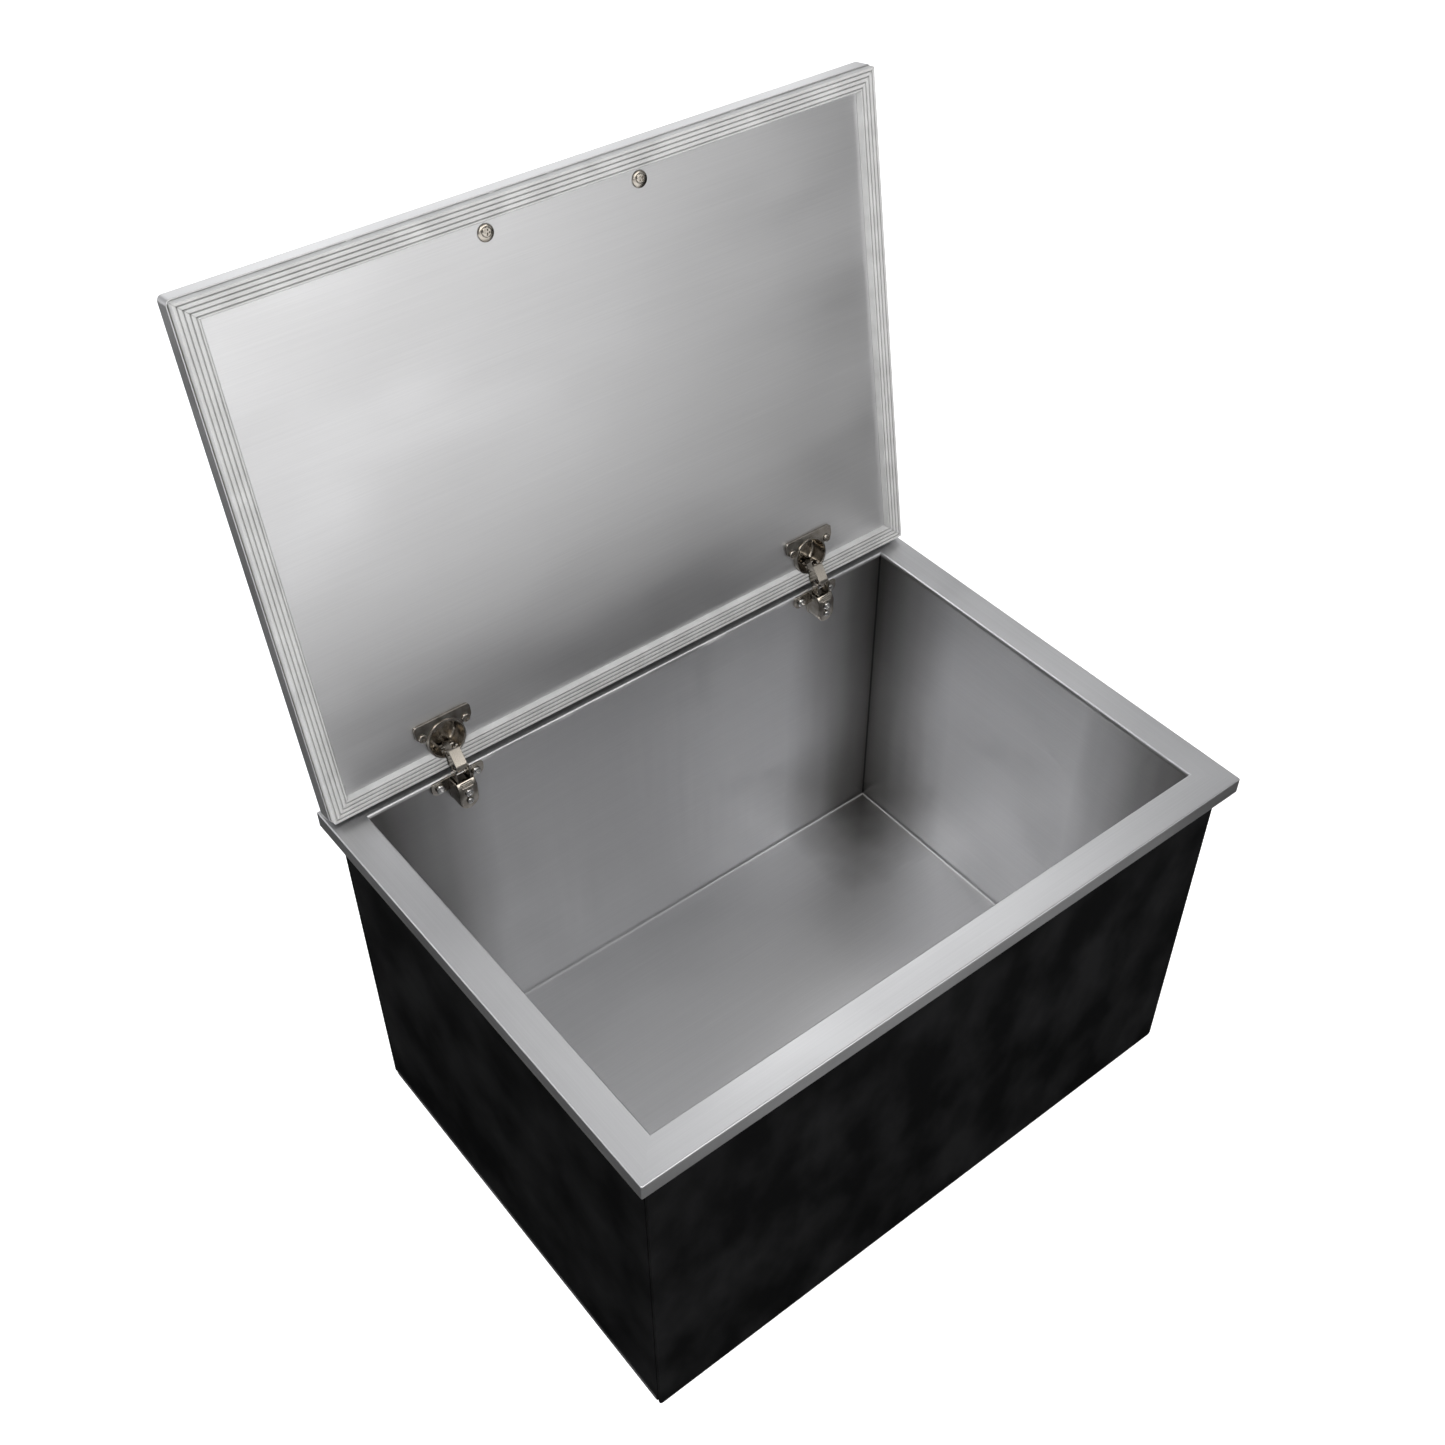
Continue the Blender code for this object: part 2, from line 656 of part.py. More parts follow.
# Drain
def make_drain():
    bottom, flange_bottom, flange_top = DRAIN_TAIL_SHORT, DRAIN_FLANGE_BOTTOM, DRAIN_FLANGE_TOP
    seat_radius = STRAINER_RADIUS + CLEARANCE
    seat = STRAINER_SEAT
    profile = (
        (seat_radius, flange_top),
        (DRAIN_FLANGE_RADIUS - DRAIN_FLANGE_CHAMFER, flange_top),
        (DRAIN_FLANGE_RADIUS, flange_top - DRAIN_FLANGE_CHAMFER),
        (DRAIN_FLANGE_RADIUS, flange_bottom),
        (DRAIN_TAIL_RADIUS, flange_bottom),
        (DRAIN_TAIL_RADIUS, bottom),
        (DRAIN_BORE_RADIUS, bottom),
        (DRAIN_BORE_RADIUS, seat),
        (seat_radius, seat),
    )
    place = (DRAIN_X, 0, 0)
    finish(turned("drain_body", profile, place), polished_steel)

    low = BASIN_FLOOR + CLEARANCE
    high = low + DRAIN_GASKET_HEIGHT
    gasket = cylinder("drain_gasket", DRAIN_FLANGE_RADIUS, (DRAIN_X, 0, low), (DRAIN_X, 0, high))
    cut(gasket, drain_cutter(DRAIN_HOLE_RADIUS, low, high))
    finish(gasket, black_rubber)

    high = BASIN_FLOOR - STEEL_SHEET - CLEARANCE
    low = high - NUT_HEIGHT
    nut = cylinder("drain_locknut", NUT_RADIUS, (DRAIN_X, 0, low), (DRAIN_X, 0, high), sides=NUT_SIDES)
    cut(nut, drain_cutter(DRAIN_HOLE_RADIUS, low, high))
    finish(nut, polished_steel)
    make_strainer()


def make_strainer():
    low = STRAINER_SEAT + CLEARANCE
    top = low + STRAINER_HEIGHT
    knob_top = top + KNOB_HEIGHT
    profile = (
        (0, knob_top),
        (KNOB_RADIUS, knob_top),
        (KNOB_RADIUS, knob_top - KNOB_HEAD_HEIGHT),
        (KNOB_NECK_RADIUS, knob_top - KNOB_HEAD_HEIGHT),
        (KNOB_NECK_RADIUS, top),
        (STRAINER_RADIUS, top),
        (STRAINER_RADIUS, low),
        (0, low),
    )
    strainer = turned("drain_strainer", profile, (0, 0, 0))
    holes = []
    for index in range(STRAINER_HOLES):
        spot = direction(2 * pi * index / STRAINER_HOLES) * STRAINER_RING_RADIUS
        start, end = (spot.x, spot.y, low - CUT_OVERRUN), (spot.x, spot.y, top + CUT_OVERRUN)
        holes.append(cylinder("hole", STRAINER_HOLE_RADIUS, start, end, "Z", SMALL_SIDES))
    cut(strainer, *holes)
    finish(strainer, brushed_steel, location=(DRAIN_X, 0, 0))


# Fixed half of each hinge, modelled from the wall's face and the flange's top
def make_hinge_plate(name):
    top = -HINGE_PLATE_TOP_DROP
    half, core = HINGE_PLATE_HALF_WIDTH, ARM_HALF_WIDTH
    ear_low = top - HINGE_PLATE_EAR_HEIGHT
    ear = HINGE_PLATE_EAR_HEIGHT / 2
    wings = ((-half, top, ear), (half, top, ear), (half, ear_low, ear), (-half, ear_low, ear))
    low = -HINGE_PLATE_TONGUE
    tongue = ((-core, -ear, 0), (core, -ear, 0), (core, low, core), (-core, low, core))
    near = CLEARANCE + HINGE_PLATE_SHEET
    plate = outline(name, wings, -near, -CLEARANCE, "XZ")
    inset = CLEARANCE / 2
    join(plate, outline("tongue", tongue, inset - near, -CLEARANCE - inset, "XZ"))
    bridge = box(
        "bridge",
        (-HINGE_BRIDGE_HALF_WIDTH, -HINGE_BRIDGE_OFF, -HINGE_BRIDGE_BOTTOM_DROP),
        (HINGE_BRIDGE_HALF_WIDTH, -near + STEEL_SHEET / 2, -HINGE_BRIDGE_TOP_DROP),
    )
    join(plate, bridge)
    holes = []
    for side in (-1, 1):
        place = side * HINGE_SCREW_SPREAD
        start, end = (place, -near - CUT_OVERRUN, -HINGE_SCREW_DROP), (place, CUT_OVERRUN, -HINGE_SCREW_DROP)
        holes.append(cylinder("hole", HINGE_SCREW_RADIUS + CLEARANCE, start, end, "Y", SMALL_SIDES))
    for drop in (SLOT_SCREW_DROP, ADJUSTING_SCREW_DROP):
        start = (0, -HINGE_BRIDGE_OFF - CUT_OVERRUN, -drop)
        end = (0, -HINGE_BRIDGE_OFF + ARM_SCREW_BITE + CLEARANCE, -drop)
        holes.append(cylinder("hole", ARM_SCREW_RADIUS + CLEARANCE, start, end, "Y", SMALL_SIDES))
    return cut(plate, *holes)


def arm_side_outline(inset):
    """Side view of the arm's body, inset by a sheet for its inside."""
    top_off, body_off = ARM_TOP_OFF - inset, ARM_BODY_OFF - inset
    step = -ARM_STEP_DROP - inset
    low = -ARM_LENGTH - 2 * inset
    top = -ARM_TOP_DROP + 2 * inset
    back = ARM_WALL_GAP - 2 * inset
    return ((-back, top, 0), (-top_off, top, 0), (-body_off, step, 0), (-body_off, low, 0), (-back, low, 0))


def make_hinge_arm(name):
    half = ARM_HALF_WIDTH
    arm = outline(name, arm_side_outline(0), -half, half, "YZ")
    inside = outline("inside", arm_side_outline(ARM_SHEET), ARM_SHEET - half, half - ARM_SHEET, "YZ")
    cut(arm, inside)
    front = (
        (-half, 0, 0),
        (half, 0, 0),
        (half, -ARM_LENGTH, half),
        (-half, -ARM_LENGTH, half),
    )
    keep_inside(arm, outline("envelope", front, -ARM_BODY_OFF - CUT_OVERRUN, 0, "XZ"))
    for side in (-1, 1):
        join(arm, nose_cheek(side))
    holes = []
    reach = NOSE_HALF_WIDTH + CUT_OVERRUN
    for pin in (ARM_PIN, ARM_FORK_PIN):
        start, end = (-reach, pin.x, pin.y), (reach, pin.x, pin.y)
        holes.append(cylinder("hole", PIN_HOLE_RADIUS, start, end, "X", SMALL_SIDES))
    for drop in (SLOT_SCREW_DROP, ADJUSTING_SCREW_DROP):
        start, end = (0, -ARM_BODY_OFF - CUT_OVERRUN, -drop), (0, -HINGE_BRIDGE_OFF, -drop)
        holes.append(cylinder("hole", ARM_SLOT_RADIUS, start, end, "Y", SMALL_SIDES))
    return cut(arm, *holes)


def nose_cheek(side):
    """Cheek of the arm's nose, which holds both pins, from the arm's front sheet up."""
    around = ARM_NOSE_ROUND
    low = -ARM_STEP_DROP
    front = -ARM_TOP_OFF + ARM_SHEET / 2
    rise = ARM_FORK_PIN.y + around
    foot = ARM_PIN.x + around
    corners = (
        (ARM_SHEET / 2 - ARM_BODY_OFF, low, 0),
        (front, -ARM_TOP_DROP, 0),
        (front, ARM_PIN.y, 0),
        (ARM_FORK_PIN.x - around, rise - around, 0),
        (ARM_FORK_PIN.x - around, rise, around),
        (ARM_FORK_PIN.x + around, rise, around),
        (foot, ARM_PIN.y + around, 0),
        (foot, low, 0),
    )
    inside, outside = NOSE_CHEEK_INSIDE, NOSE_HALF_WIDTH
    low_x, high_x = (inside, outside) if side > 0 else (-outside, -inside)
    return outline("cheek", corners, low_x, high_x, "YZ")


def make_screw(name, radius, length, head_radius, head, sides=SMALL_SIDES):
    """Screw along Z, its head's underside at zero and its shank below."""
    profile = (
        (0, head),
        (head_radius - head / 2, head),
        (head_radius, head / 2),
        (head_radius, 0),
        (radius, 0),
        (radius, -length),
        (0, -length),
    )
    return turned(name, profile, (0, 0, 0), sides)


def facing_out(item, place):
    """Turn a screw so that its head faces the front, and move it."""
    item.data.transform(Matrix.Translation(place) @ Matrix.Rotation(pi / 2, 4, "X"))
    return item


def make_hinge_screws():
    head_off = 2 * CLEARANCE + HINGE_PLATE_SHEET
    reach = head_off + STEEL_SHEET + CLEARANCE + NUT_PLATE_SHEET + HINGE_SCREW_TAIL
    for ending, place in wall_screw_places():
        name = "hinge_mounting_screw_" + ending
        screw = make_screw(name, HINGE_SCREW_RADIUS, reach, HINGE_SCREW_HEAD_RADIUS, HINGE_SCREW_HEAD)
        facing_out(screw, (0, 0, 0))
        finish(screw, polished_steel, location=wall_point(place, head_off, HINGE_SCREW_DROP))
    length = ARM_BODY_OFF + CLEARANCE - HINGE_BRIDGE_OFF + ARM_SCREW_BITE
    for kind, drop, head_radius in (
        ("hinge_slot_screw_", SLOT_SCREW_DROP, SLOT_SCREW_HEAD_RADIUS),
        ("hinge_adjusting_screw_", ADJUSTING_SCREW_DROP, ADJUSTING_SCREW_HEAD_RADIUS),
    ):
        for side, middle in hinge_places():
            screw = make_screw(kind + side, ARM_SCREW_RADIUS, length, head_radius, ARM_SCREW_HEAD)
            facing_out(screw, (0, 0, 0))
            finish(screw, polished_steel, location=wall_point(middle, ARM_BODY_OFF + CLEARANCE, drop))


def make_pin(name, half_length):
    """Pin along X, centred on the origin."""
    return cylinder(name, PIN_RADIUS, (-half_length, 0, 0), (half_length, 0, 0), "X", SMALL_SIDES)


def make_fixed_hinge_parts():
    for side, middle in hinge_places():
        place = wall_point(middle)
        finish(make_hinge_plate("hinge_mounting_plate_" + side), polished_steel, location=place)
        finish(make_hinge_arm("hinge_arm_" + side), polished_steel, location=place)
        nut = nut_plate_box("hinge_nut_plate_" + side, middle, 0, 0)
        cut(nut, *nut_plate_holes(middle))
        finish(nut, polished_steel)
        for kind, pin in (("link_pin_", ARM_PIN), ("fork_pin_", ARM_FORK_PIN)):
            item = make_pin("hinge_arm_" + kind + side, NOSE_HALF_WIDTH)
            finish(item, polished_steel, location=wall_point(middle, -pin.x, -pin.y))
    make_hinge_screws()


def nut_plate_holes(middle):
    holes = []
    for side in (-1, 1):
        place = middle + side * HINGE_SCREW_SPREAD
        start = wall_point(place, 0, HINGE_SCREW_DROP)
        end = wall_point(place, -STEEL_SHEET - NUT_PLATE_SHEET - CUT_OVERRUN, HINGE_SCREW_DROP)
        holes.append(cylinder("hole", HINGE_SCREW_RADIUS + CLEARANCE, start, end, "Y", SMALL_SIDES))
    return holes


# Links, modelled with the pin at the arm as origin and Y towards the lid
def make_outer_link(name):
    length, eye, strap = OUTER_LINK_LENGTH, OUTER_LINK_EYE, OUTER_LINK_STRAP_RISE
    start, end = OUTER_LINK_RISER_START, OUTER_LINK_RISER_END
    cheek = (
        (-eye, -eye, eye),
        (length + eye, -eye, eye),
        (length + eye, eye, eye),
        (end, eye, 0),
        (end, strap + OUTER_LINK_STRAP / 2, 0),
        (start, strap + OUTER_LINK_STRAP / 2, 0),
        (start, eye, 0),
        (-eye, eye, eye),
    )
    half = OUTER_LINK_HALF_WIDTH
    link = box(name, (-half, 0, strap), (half, length, strap + OUTER_LINK_STRAP))
    outside = half - CLEARANCE
    inside = outside - OUTER_LINK_CHEEK
    join(link, outline("right_cheek", cheek, inside, outside, "YZ"))
    join(link, outline("left_cheek", cheek, -outside, -inside, "YZ"))
    holes = []
    reach = half + CUT_OVERRUN
    for along in (0, length):
        start, end = (-reach, along, 0), (reach, along, 0)
        holes.append(cylinder("hole", PIN_HOLE_RADIUS, start, end, "X", SMALL_SIDES))
    return cut(link, *holes)


def make_inner_link(name):
    length, eye, bar = INNER_LINK_LENGTH, INNER_LINK_EYE, INNER_LINK_BAR
    upper, lower = FORK_UPPER_INSIDE, -FORK_LOWER_INSIDE
    root, throat, tip = length - 2 * FORK_THROAT, length - FORK_THROAT, length + FORK_REACH
    corners = (
        (-eye, -eye, eye),
        (root, -bar, 0),
        (throat, lower - FORK_PRONG, 0),
        (tip, lower - FORK_PRONG, FORK_PRONG / 2),
        (tip, lower, FORK_PRONG / 2),
        (throat, lower, 0),
        (throat, upper, 0),
        (tip, upper, FORK_PRONG / 2),
        (tip, upper + FORK_PRONG, FORK_PRONG / 2),
        (throat, upper + FORK_PRONG, 0),
        (root, bar, 0),
        (-eye, eye, eye),
    )
    half = INNER_LINK_HALF_WIDTH
    link = outline(name, corners, -half, half, "YZ")
    reach = half + CUT_OVERRUN
    return cut(link, cylinder("hole", PIN_HOLE_RADIUS, (-reach, 0, 0), (reach, 0, 0), "X", SMALL_SIDES))


def add_pivot(name, spot, angle=0):
    """Empty on a pivot of the hinges, turned about X."""
    pivot = bpy.data.objects.new(name, None)
    PART.objects.link(pivot)
    pivot.location = wall_point(0, -spot.x, -spot.y)
    pivot.rotation_euler = (angle, 0, 0)
    return pivot


def make_links():
    outer_pivot = add_pivot("outer_link_pivot", ARM_PIN, OUTER_LINK_ANGLE)
    inner_pivot = add_pivot("inner_link_pivot", ARM_FORK_PIN, INNER_LINK_ANGLE)
    for side, middle in hinge_places():
        finish(make_outer_link("outer_link_" + side), polished_steel, outer_pivot, (middle, 0, 0))
        finish(make_inner_link("inner_link_" + side), polished_steel, inner_pivot, (middle, 0, 0))


# Lid, modelled lying on its outer face: Y from the hinge side, Z up from the gasket's face
def lid_box(name, edge, low, high):
    """Box as large as the gasket's outline, drawn in by an edge, between two depths."""
    half = LID_HALF_LENGTH - edge
    return box(name, (-half, edge, -high), (half, LID_DEPTH - edge, -low))


def lid_cutter(radius, place, along, low, high, sides=SMALL_SIDES):
    return cylinder("hole", radius, (place, along, -high), (place, along, -low), "Z", sides)


def handle_screw_places():
    return (("left", -HANDLE_HOLE_SPACING / 2), ("right", HANDLE_HOLE_SPACING / 2))


def cup_screw_places():
    """Each cup screw, as a name ending and a place along X."""
    for side, middle in hinge_places():
        yield side + "_outer", middle * (1 + CUP_SCREW_SPREAD / HINGE_FROM_MIDDLE)
        yield side + "_inner", middle * (1 - CUP_SCREW_SPREAD / HINGE_FROM_MIDDLE)


def cup_cutters(low, high):
    """Round holes for both cups, between two depths."""
    radius, along = CUP_POCKET_RADIUS, CUP_CENTRE_ALONG
    return [lid_cutter(radius, middle, along, low, high, FINE_SIDES) for _, middle in hinge_places()]


def handle_screw_cutters(low, high):
    radius = HANDLE_SCREW_RADIUS + CLEARANCE
    return [lid_cutter(radius, place, HANDLE_ALONG, low, high) for _, place in handle_screw_places()]


def cup_screw_cutters(low, high):
    radius = CUP_SCREW_RADIUS + CLEARANCE
    return [lid_cutter(radius, place, CUP_SCREW_ALONG, low, high) for _, place in cup_screw_places()]


def make_lid_pan():
    pan = lid_box("lid_pan", -PAN_OVERHANG, PAN_RIM_DEPTH, LID_THICKNESS)
    round_edges(pan, PAN_CORNER, upright, 4)
    round_edges(pan, PAN_BEND, lambda middle, along: middle.z < CLEARANCE - LID_THICKNESS)
    inside = lid_box("inside", PAN_SHEET - PAN_OVERHANG, PAN_RIM_DEPTH + PAN_SHEET, LID_THICKNESS - PAN_SHEET)
    round_edges(inside, PAN_CORNER - PAN_SHEET, upright, 4)
    low, high = PAN_RIM_DEPTH - CUT_OVERRUN, PAN_RIM_DEPTH + PAN_SHEET + CUT_OVERRUN
    mouth = lid_box("mouth", PAN_RETURN_WIDTH, low, high)
    low, high = LID_THICKNESS - CUT_OVERRUN, LID_THICKNESS + CUT_OVERRUN
    cut(pan, inside, mouth, *handle_screw_cutters(low, high))
    return pan


def make_lid_foam():
    top = INNER_PANEL_DEPTH + INNER_PANEL_SHEET + CLEARANCE
    step = PAN_RIM_DEPTH + PAN_SHEET + CLEARANCE
    bottom = LID_THICKNESS - PAN_SHEET - CLEARANCE
    foam_edge = PAN_SHEET + CLEARANCE - PAN_OVERHANG
    slab = lid_box("lid_insulation", foam_edge, step, bottom)
    round_edges(slab, PAN_CORNER - PAN_SHEET - CLEARANCE, upright, 4)
    join(slab, lid_box("plateau", INNER_PANEL_EDGE, top, (step + bottom) / 2))
    start = top - CUT_OVERRUN
    tools = cup_cutters(start, CUP_DEPTH + CUP_FLOOR + CLEARANCE)
    tools += cup_screw_cutters(start, cup_screw_end() + CLEARANCE)
    tools += handle_screw_cutters(start, bottom + CUT_OVERRUN)
    return cut(slab, *tools)


def cup_screw_end():
    return CUP_PLATE_FACE - CLEARANCE + CUP_SCREW_LENGTH


def make_inner_panel():
    low, high = INNER_PANEL_DEPTH, INNER_PANEL_DEPTH + INNER_PANEL_SHEET
    panel = lid_box("lid_inner_panel", INNER_PANEL_EDGE, low, high)
    low, high = low - CUT_OVERRUN, high + CUT_OVERRUN
    cut(panel, *cup_cutters(low, high))
    return cut(panel, *cup_screw_cutters(low, high), *handle_screw_cutters(low, high))


def gasket_profile():
    """Section of a gasket strip, from its outer edge inwards and from its face down."""
    corners = [(0, 0, GASKET_ROUND)]
    for index in range(RIB_GROOVES):
        start = RIB_FIRST_GROOVE + GASKET_ROUND / 2 + index * RIB_PITCH - RIB_GROOVE_WIDTH / 2
        end = start + RIB_GROOVE_WIDTH
        corners += [(start, 0, 0), (start, -RIB_GROOVE_DEPTH, 0), (end, -RIB_GROOVE_DEPTH, 0), (end, 0, 0)]
    seat = INNER_PANEL_DEPTH - CLEARANCE
    corners += [
        (GASKET_WIDTH, 0, 0),
        (GASKET_WIDTH, -seat, 0),
        (GASKET_SEAT_WIDTH, -seat, 0),
        (GASKET_SEAT_WIDTH, -GASKET_HEIGHT, 0),
        (0, -GASKET_HEIGHT, 0),
    ]
    return tuple(corners)


def gasket_strip(name, half_length):
    """Strip along X with mitred ends, its outer edge at Y zero."""
    strip = outline(name, gasket_profile(), -half_length, half_length, "YZ")
    for vertex in strip.data.vertices:
        draw_in = vertex.co.y + CLEARANCE
        vertex.co.x += -draw_in if vertex.co.x > 0 else draw_in
    return strip


def make_gaskets():
    depth_half = LID_DEPTH / 2
    rear = gasket_strip("gasket_rear", LID_HALF_LENGTH)
    notches = []
    half = OUTER_LINK_HALF_WIDTH + CLEARANCE
    for _, middle in hinge_places():
        low = (middle - half, STRAP_NOTCH_START, -STRAP_NOTCH_DEPTH)
        high = (middle + half, GASKET_WIDTH + CUT_OVERRUN, CUT_OVERRUN)
        notches.append(box("notch", low, high))
    cut(rear, *cup_cutters(-CUT_OVERRUN, GASKET_HEIGHT + CUT_OVERRUN), *notches)
    front = gasket_strip("gasket_front", LID_HALF_LENGTH)
    front.data.transform(Matrix.Translation((0, LID_DEPTH, 0)) @ Matrix.Rotation(pi, 4, "Z"))
    left = gasket_strip("gasket_left", depth_half)
    place = Matrix.Translation((-LID_HALF_LENGTH, depth_half, 0))
    left.data.transform(place @ Matrix.Rotation(-pi / 2, 4, "Z"))
    right = gasket_strip("gasket_right", depth_half)
    place = Matrix.Translation((LID_HALF_LENGTH, depth_half, 0))
    right.data.transform(place @ Matrix.Rotation(pi / 2, 4, "Z"))
    return rear, front, left, right


def make_hinge_cup(name):
    """Cup with the plate that screws it to the lid, and the two lugs that hold its pins."""
    centre = (0, CUP_CENTRE_ALONG)
    bottom = CUP_DEPTH + CUP_FLOOR
    cup = cylinder(name, CUP_OUTER_RADIUS, (*centre, -bottom), (*centre, -CUP_RIM_DEPTH), "Z", FINE_SIDES)
    half, ear = CUP_PLATE_HALF_WIDTH, CUP_PLATE_EAR
    corners = (
        (-half, CUP_PLATE_START, ear),
        (half, CUP_PLATE_START, ear),
        (half, CUP_PLATE_END, CUP_PLATE_CORNER),
        (-half, CUP_PLATE_END, CUP_PLATE_CORNER),
    )
    plate = outline("plate", corners, CLEARANCE - INNER_PANEL_DEPTH, -CUP_PLATE_FACE)
    join(cup, plate)
    start, end = (*centre, -CUP_DEPTH), (*centre, CUT_OVERRUN)
    cut(cup, cylinder("inside", CUP_INNER_RADIUS, start, end, "Z", FINE_SIDES))
    lug_low, lug_high = -CUP_DEPTH - CUP_FLOOR / 2, -CUP_RIM_DEPTH
    inside, outside = CUP_LUG_INSIDE, CUP_LUG_INSIDE + CUP_LUG
    join(
        cup,
        box("lug", (inside, CUP_LUG_START, lug_low), (outside, CUP_LUG_END, lug_high)),
        box("lug", (-outside, CUP_LUG_START, lug_low), (-inside, CUP_LUG_END, lug_high)),
    )
    strap = OUTER_LINK_HALF_WIDTH + CLEARANCE
    low_edge = CUP_CENTRE_ALONG - CUP_OUTER_RADIUS - CUT_OVERRUN
    fork = INNER_LINK_HALF_WIDTH + CLEARANCE
    tools = [
        box("strap_notch", (-strap, low_edge, -CUP_NOTCH_DEPTH), (strap, LINK_PIN_ALONG, CUT_OVERRUN)),
        box("fork_notch", (-fork, low_edge, -CUP_FORK_NOTCH_DEPTH), (fork, LINK_PIN_ALONG, CUT_OVERRUN)),
    ]
    reach = outside + CLEARANCE
    start, end = (-reach, FORK_PIN_ALONG, -FORK_PIN_DEPTH), (reach, FORK_PIN_ALONG, -FORK_PIN_DEPTH)
    tools.append(cylinder("hole", PIN_HOLE_RADIUS, start, end, "X", SMALL_SIDES))
    radius = CUP_SCREW_RADIUS + CLEARANCE
    for place in (-CUP_SCREW_SPREAD, CUP_SCREW_SPREAD):
        tools.append(lid_cutter(radius, place, CUP_SCREW_ALONG, -CUT_OVERRUN, INNER_PANEL_DEPTH))
    cut(cup, *tools)
    studs = []
    for side in (-1, 1):
        start = (side * CUP_STUD_INSIDE, LINK_PIN_ALONG, -LINK_PIN_DEPTH)
        end = (side * (inside + CUP_LUG / 2), LINK_PIN_ALONG, -LINK_PIN_DEPTH)
        studs.append(cylinder("stud", PIN_RADIUS, min(start, end), max(start, end), "X", SMALL_SIDES))
    return join(cup, *studs)


def make_cup_fasteners(parent, shift):
    for ending, place in cup_screw_places():
        name = "cup_screw_" + ending
        screw = make_screw(name, CUP_SCREW_RADIUS, CUP_SCREW_LENGTH, CUP_SCREW_HEAD_RADIUS, CUP_SCREW_HEAD)
        spot = shift + Vector((place, CUP_SCREW_ALONG, CLEARANCE - CUP_PLATE_FACE))
        finish(screw, polished_steel, parent, spot)
    for side, middle in hinge_places():
        pin = make_pin("hinge_cup_fork_pin_" + side, CUP_LUG_INSIDE + CUP_LUG)
        finish(pin, polished_steel, parent, shift + Vector((middle, FORK_PIN_ALONG, -FORK_PIN_DEPTH)))


def handle_path():
    """Middle line of the handle, from one foot round both bends to the other foot."""
    half, out, bend = HANDLE_HOLE_SPACING / 2, HANDLE_PROJECTION - HANDLE_ROD_RADIUS, HANDLE_BEND_RADIUS
    points = [Vector((half, 0))]
    for step in range(ARC_STEPS + 1):
        angle = pi / 2 * step / ARC_STEPS
        points.append(Vector((half - bend, out - bend)) + direction(angle) * bend)
    return points + [Vector((-point.x, point.y)) for point in reversed(points)]


def make_handle():
    curve = bpy.data.curves.new("lid_handle", "CURVE")
    curve.dimensions = "3D"
    curve.bevel_depth = HANDLE_ROD_RADIUS
    curve.bevel_resolution = FILLET_STEPS
    curve.use_fill_caps = True
    path = handle_path()
    spline = curve.splines.new("POLY")
    spline.points.add(len(path) - 1)
    face = LID_THICKNESS + CLEARANCE
    for target, point in zip(spline.points, path):
        target.co = (point.x, HANDLE_ALONG, -face - point.y, 1)
    handle = curve_to_mesh("lid_handle", curve, Matrix.Identity(4))
    depth = face + HANDLE_SCREW_BITE + CLEARANCE
    return cut(handle, *handle_screw_cutters(LID_THICKNESS, depth))


def make_handle_fasteners(parent, shift):
    washer_face = INNER_PANEL_DEPTH - CLEARANCE - CUP_WASHER_HEIGHT
    head_seat = washer_face - CLEARANCE
    length = LID_THICKNESS + CLEARANCE + HANDLE_SCREW_BITE - head_seat
    inner = HANDLE_SCREW_RADIUS + CLEARANCE
    profile = (
        (inner, CUP_WASHER_HEIGHT),
        (CUP_WASHER_TOP_RADIUS, CUP_WASHER_HEIGHT),
        (CUP_WASHER_RADIUS, 0),
        (inner, 0),
    )
    for side, place in handle_screw_places():
        name = "handle_screw_" + side
        screw = make_screw(name, HANDLE_SCREW_RADIUS, length, HANDLE_SCREW_HEAD_RADIUS, HANDLE_SCREW_HEAD)
        finish(screw, polished_steel, parent, shift + Vector((place, HANDLE_ALONG, -head_seat)))
        washer = turned("handle_cup_washer_" + side, profile, (0, 0, 0))
        spot = shift + Vector((place, HANDLE_ALONG, CLEARANCE - INNER_PANEL_DEPTH))
        finish(washer, polished_steel, parent, spot)


def make_lid():
    pivot = add_pivot("lid_pivot", LID_PIN, LID_REST_ANGLE)
    shift = Vector((0, -LINK_PIN_ALONG, LINK_PIN_DEPTH))
    for side, middle in hinge_places():
        finish(make_hinge_cup("hinge_cup_" + side), polished_steel, pivot, shift + Vector((middle, 0, 0)))
    finish(make_lid_pan(), brushed_steel, pivot, shift)
    finish(make_inner_panel(), brushed_steel, pivot, shift)
    finish(make_lid_foam(), foam, pivot, shift)
    for strip in make_gaskets():
        finish(strip, grey_rubber, pivot, shift)
    finish(make_handle(), polished_steel, pivot, shift)
    make_cup_fasteners(pivot, shift)
    make_handle_fasteners(pivot, shift)


clear_scene()
PART = new_collection("drop_in_bin")
TOOLS = new_collection("cutters")
make_basin_and_flange()
make_jacket()
make_insulation()
make_drain()
make_fixed_hinge_parts()
make_links()
make_lid()
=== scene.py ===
"""Looks of a drop in bin with an insulated lid on two cup hinges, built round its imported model.

X runs along the front, Y from the front to the hinge side and Z up, in metres. The file is laid out
as an add-on: property groups hold the sizes and colours, and each operator makes one group of pieces.
"""

import json
from math import atan2, cos, pi, radians, sin, tan

import bmesh
import bpy
from bpy.props import FloatProperty, FloatVectorProperty, IntProperty, PointerProperty
from mathutils import Matrix, Vector


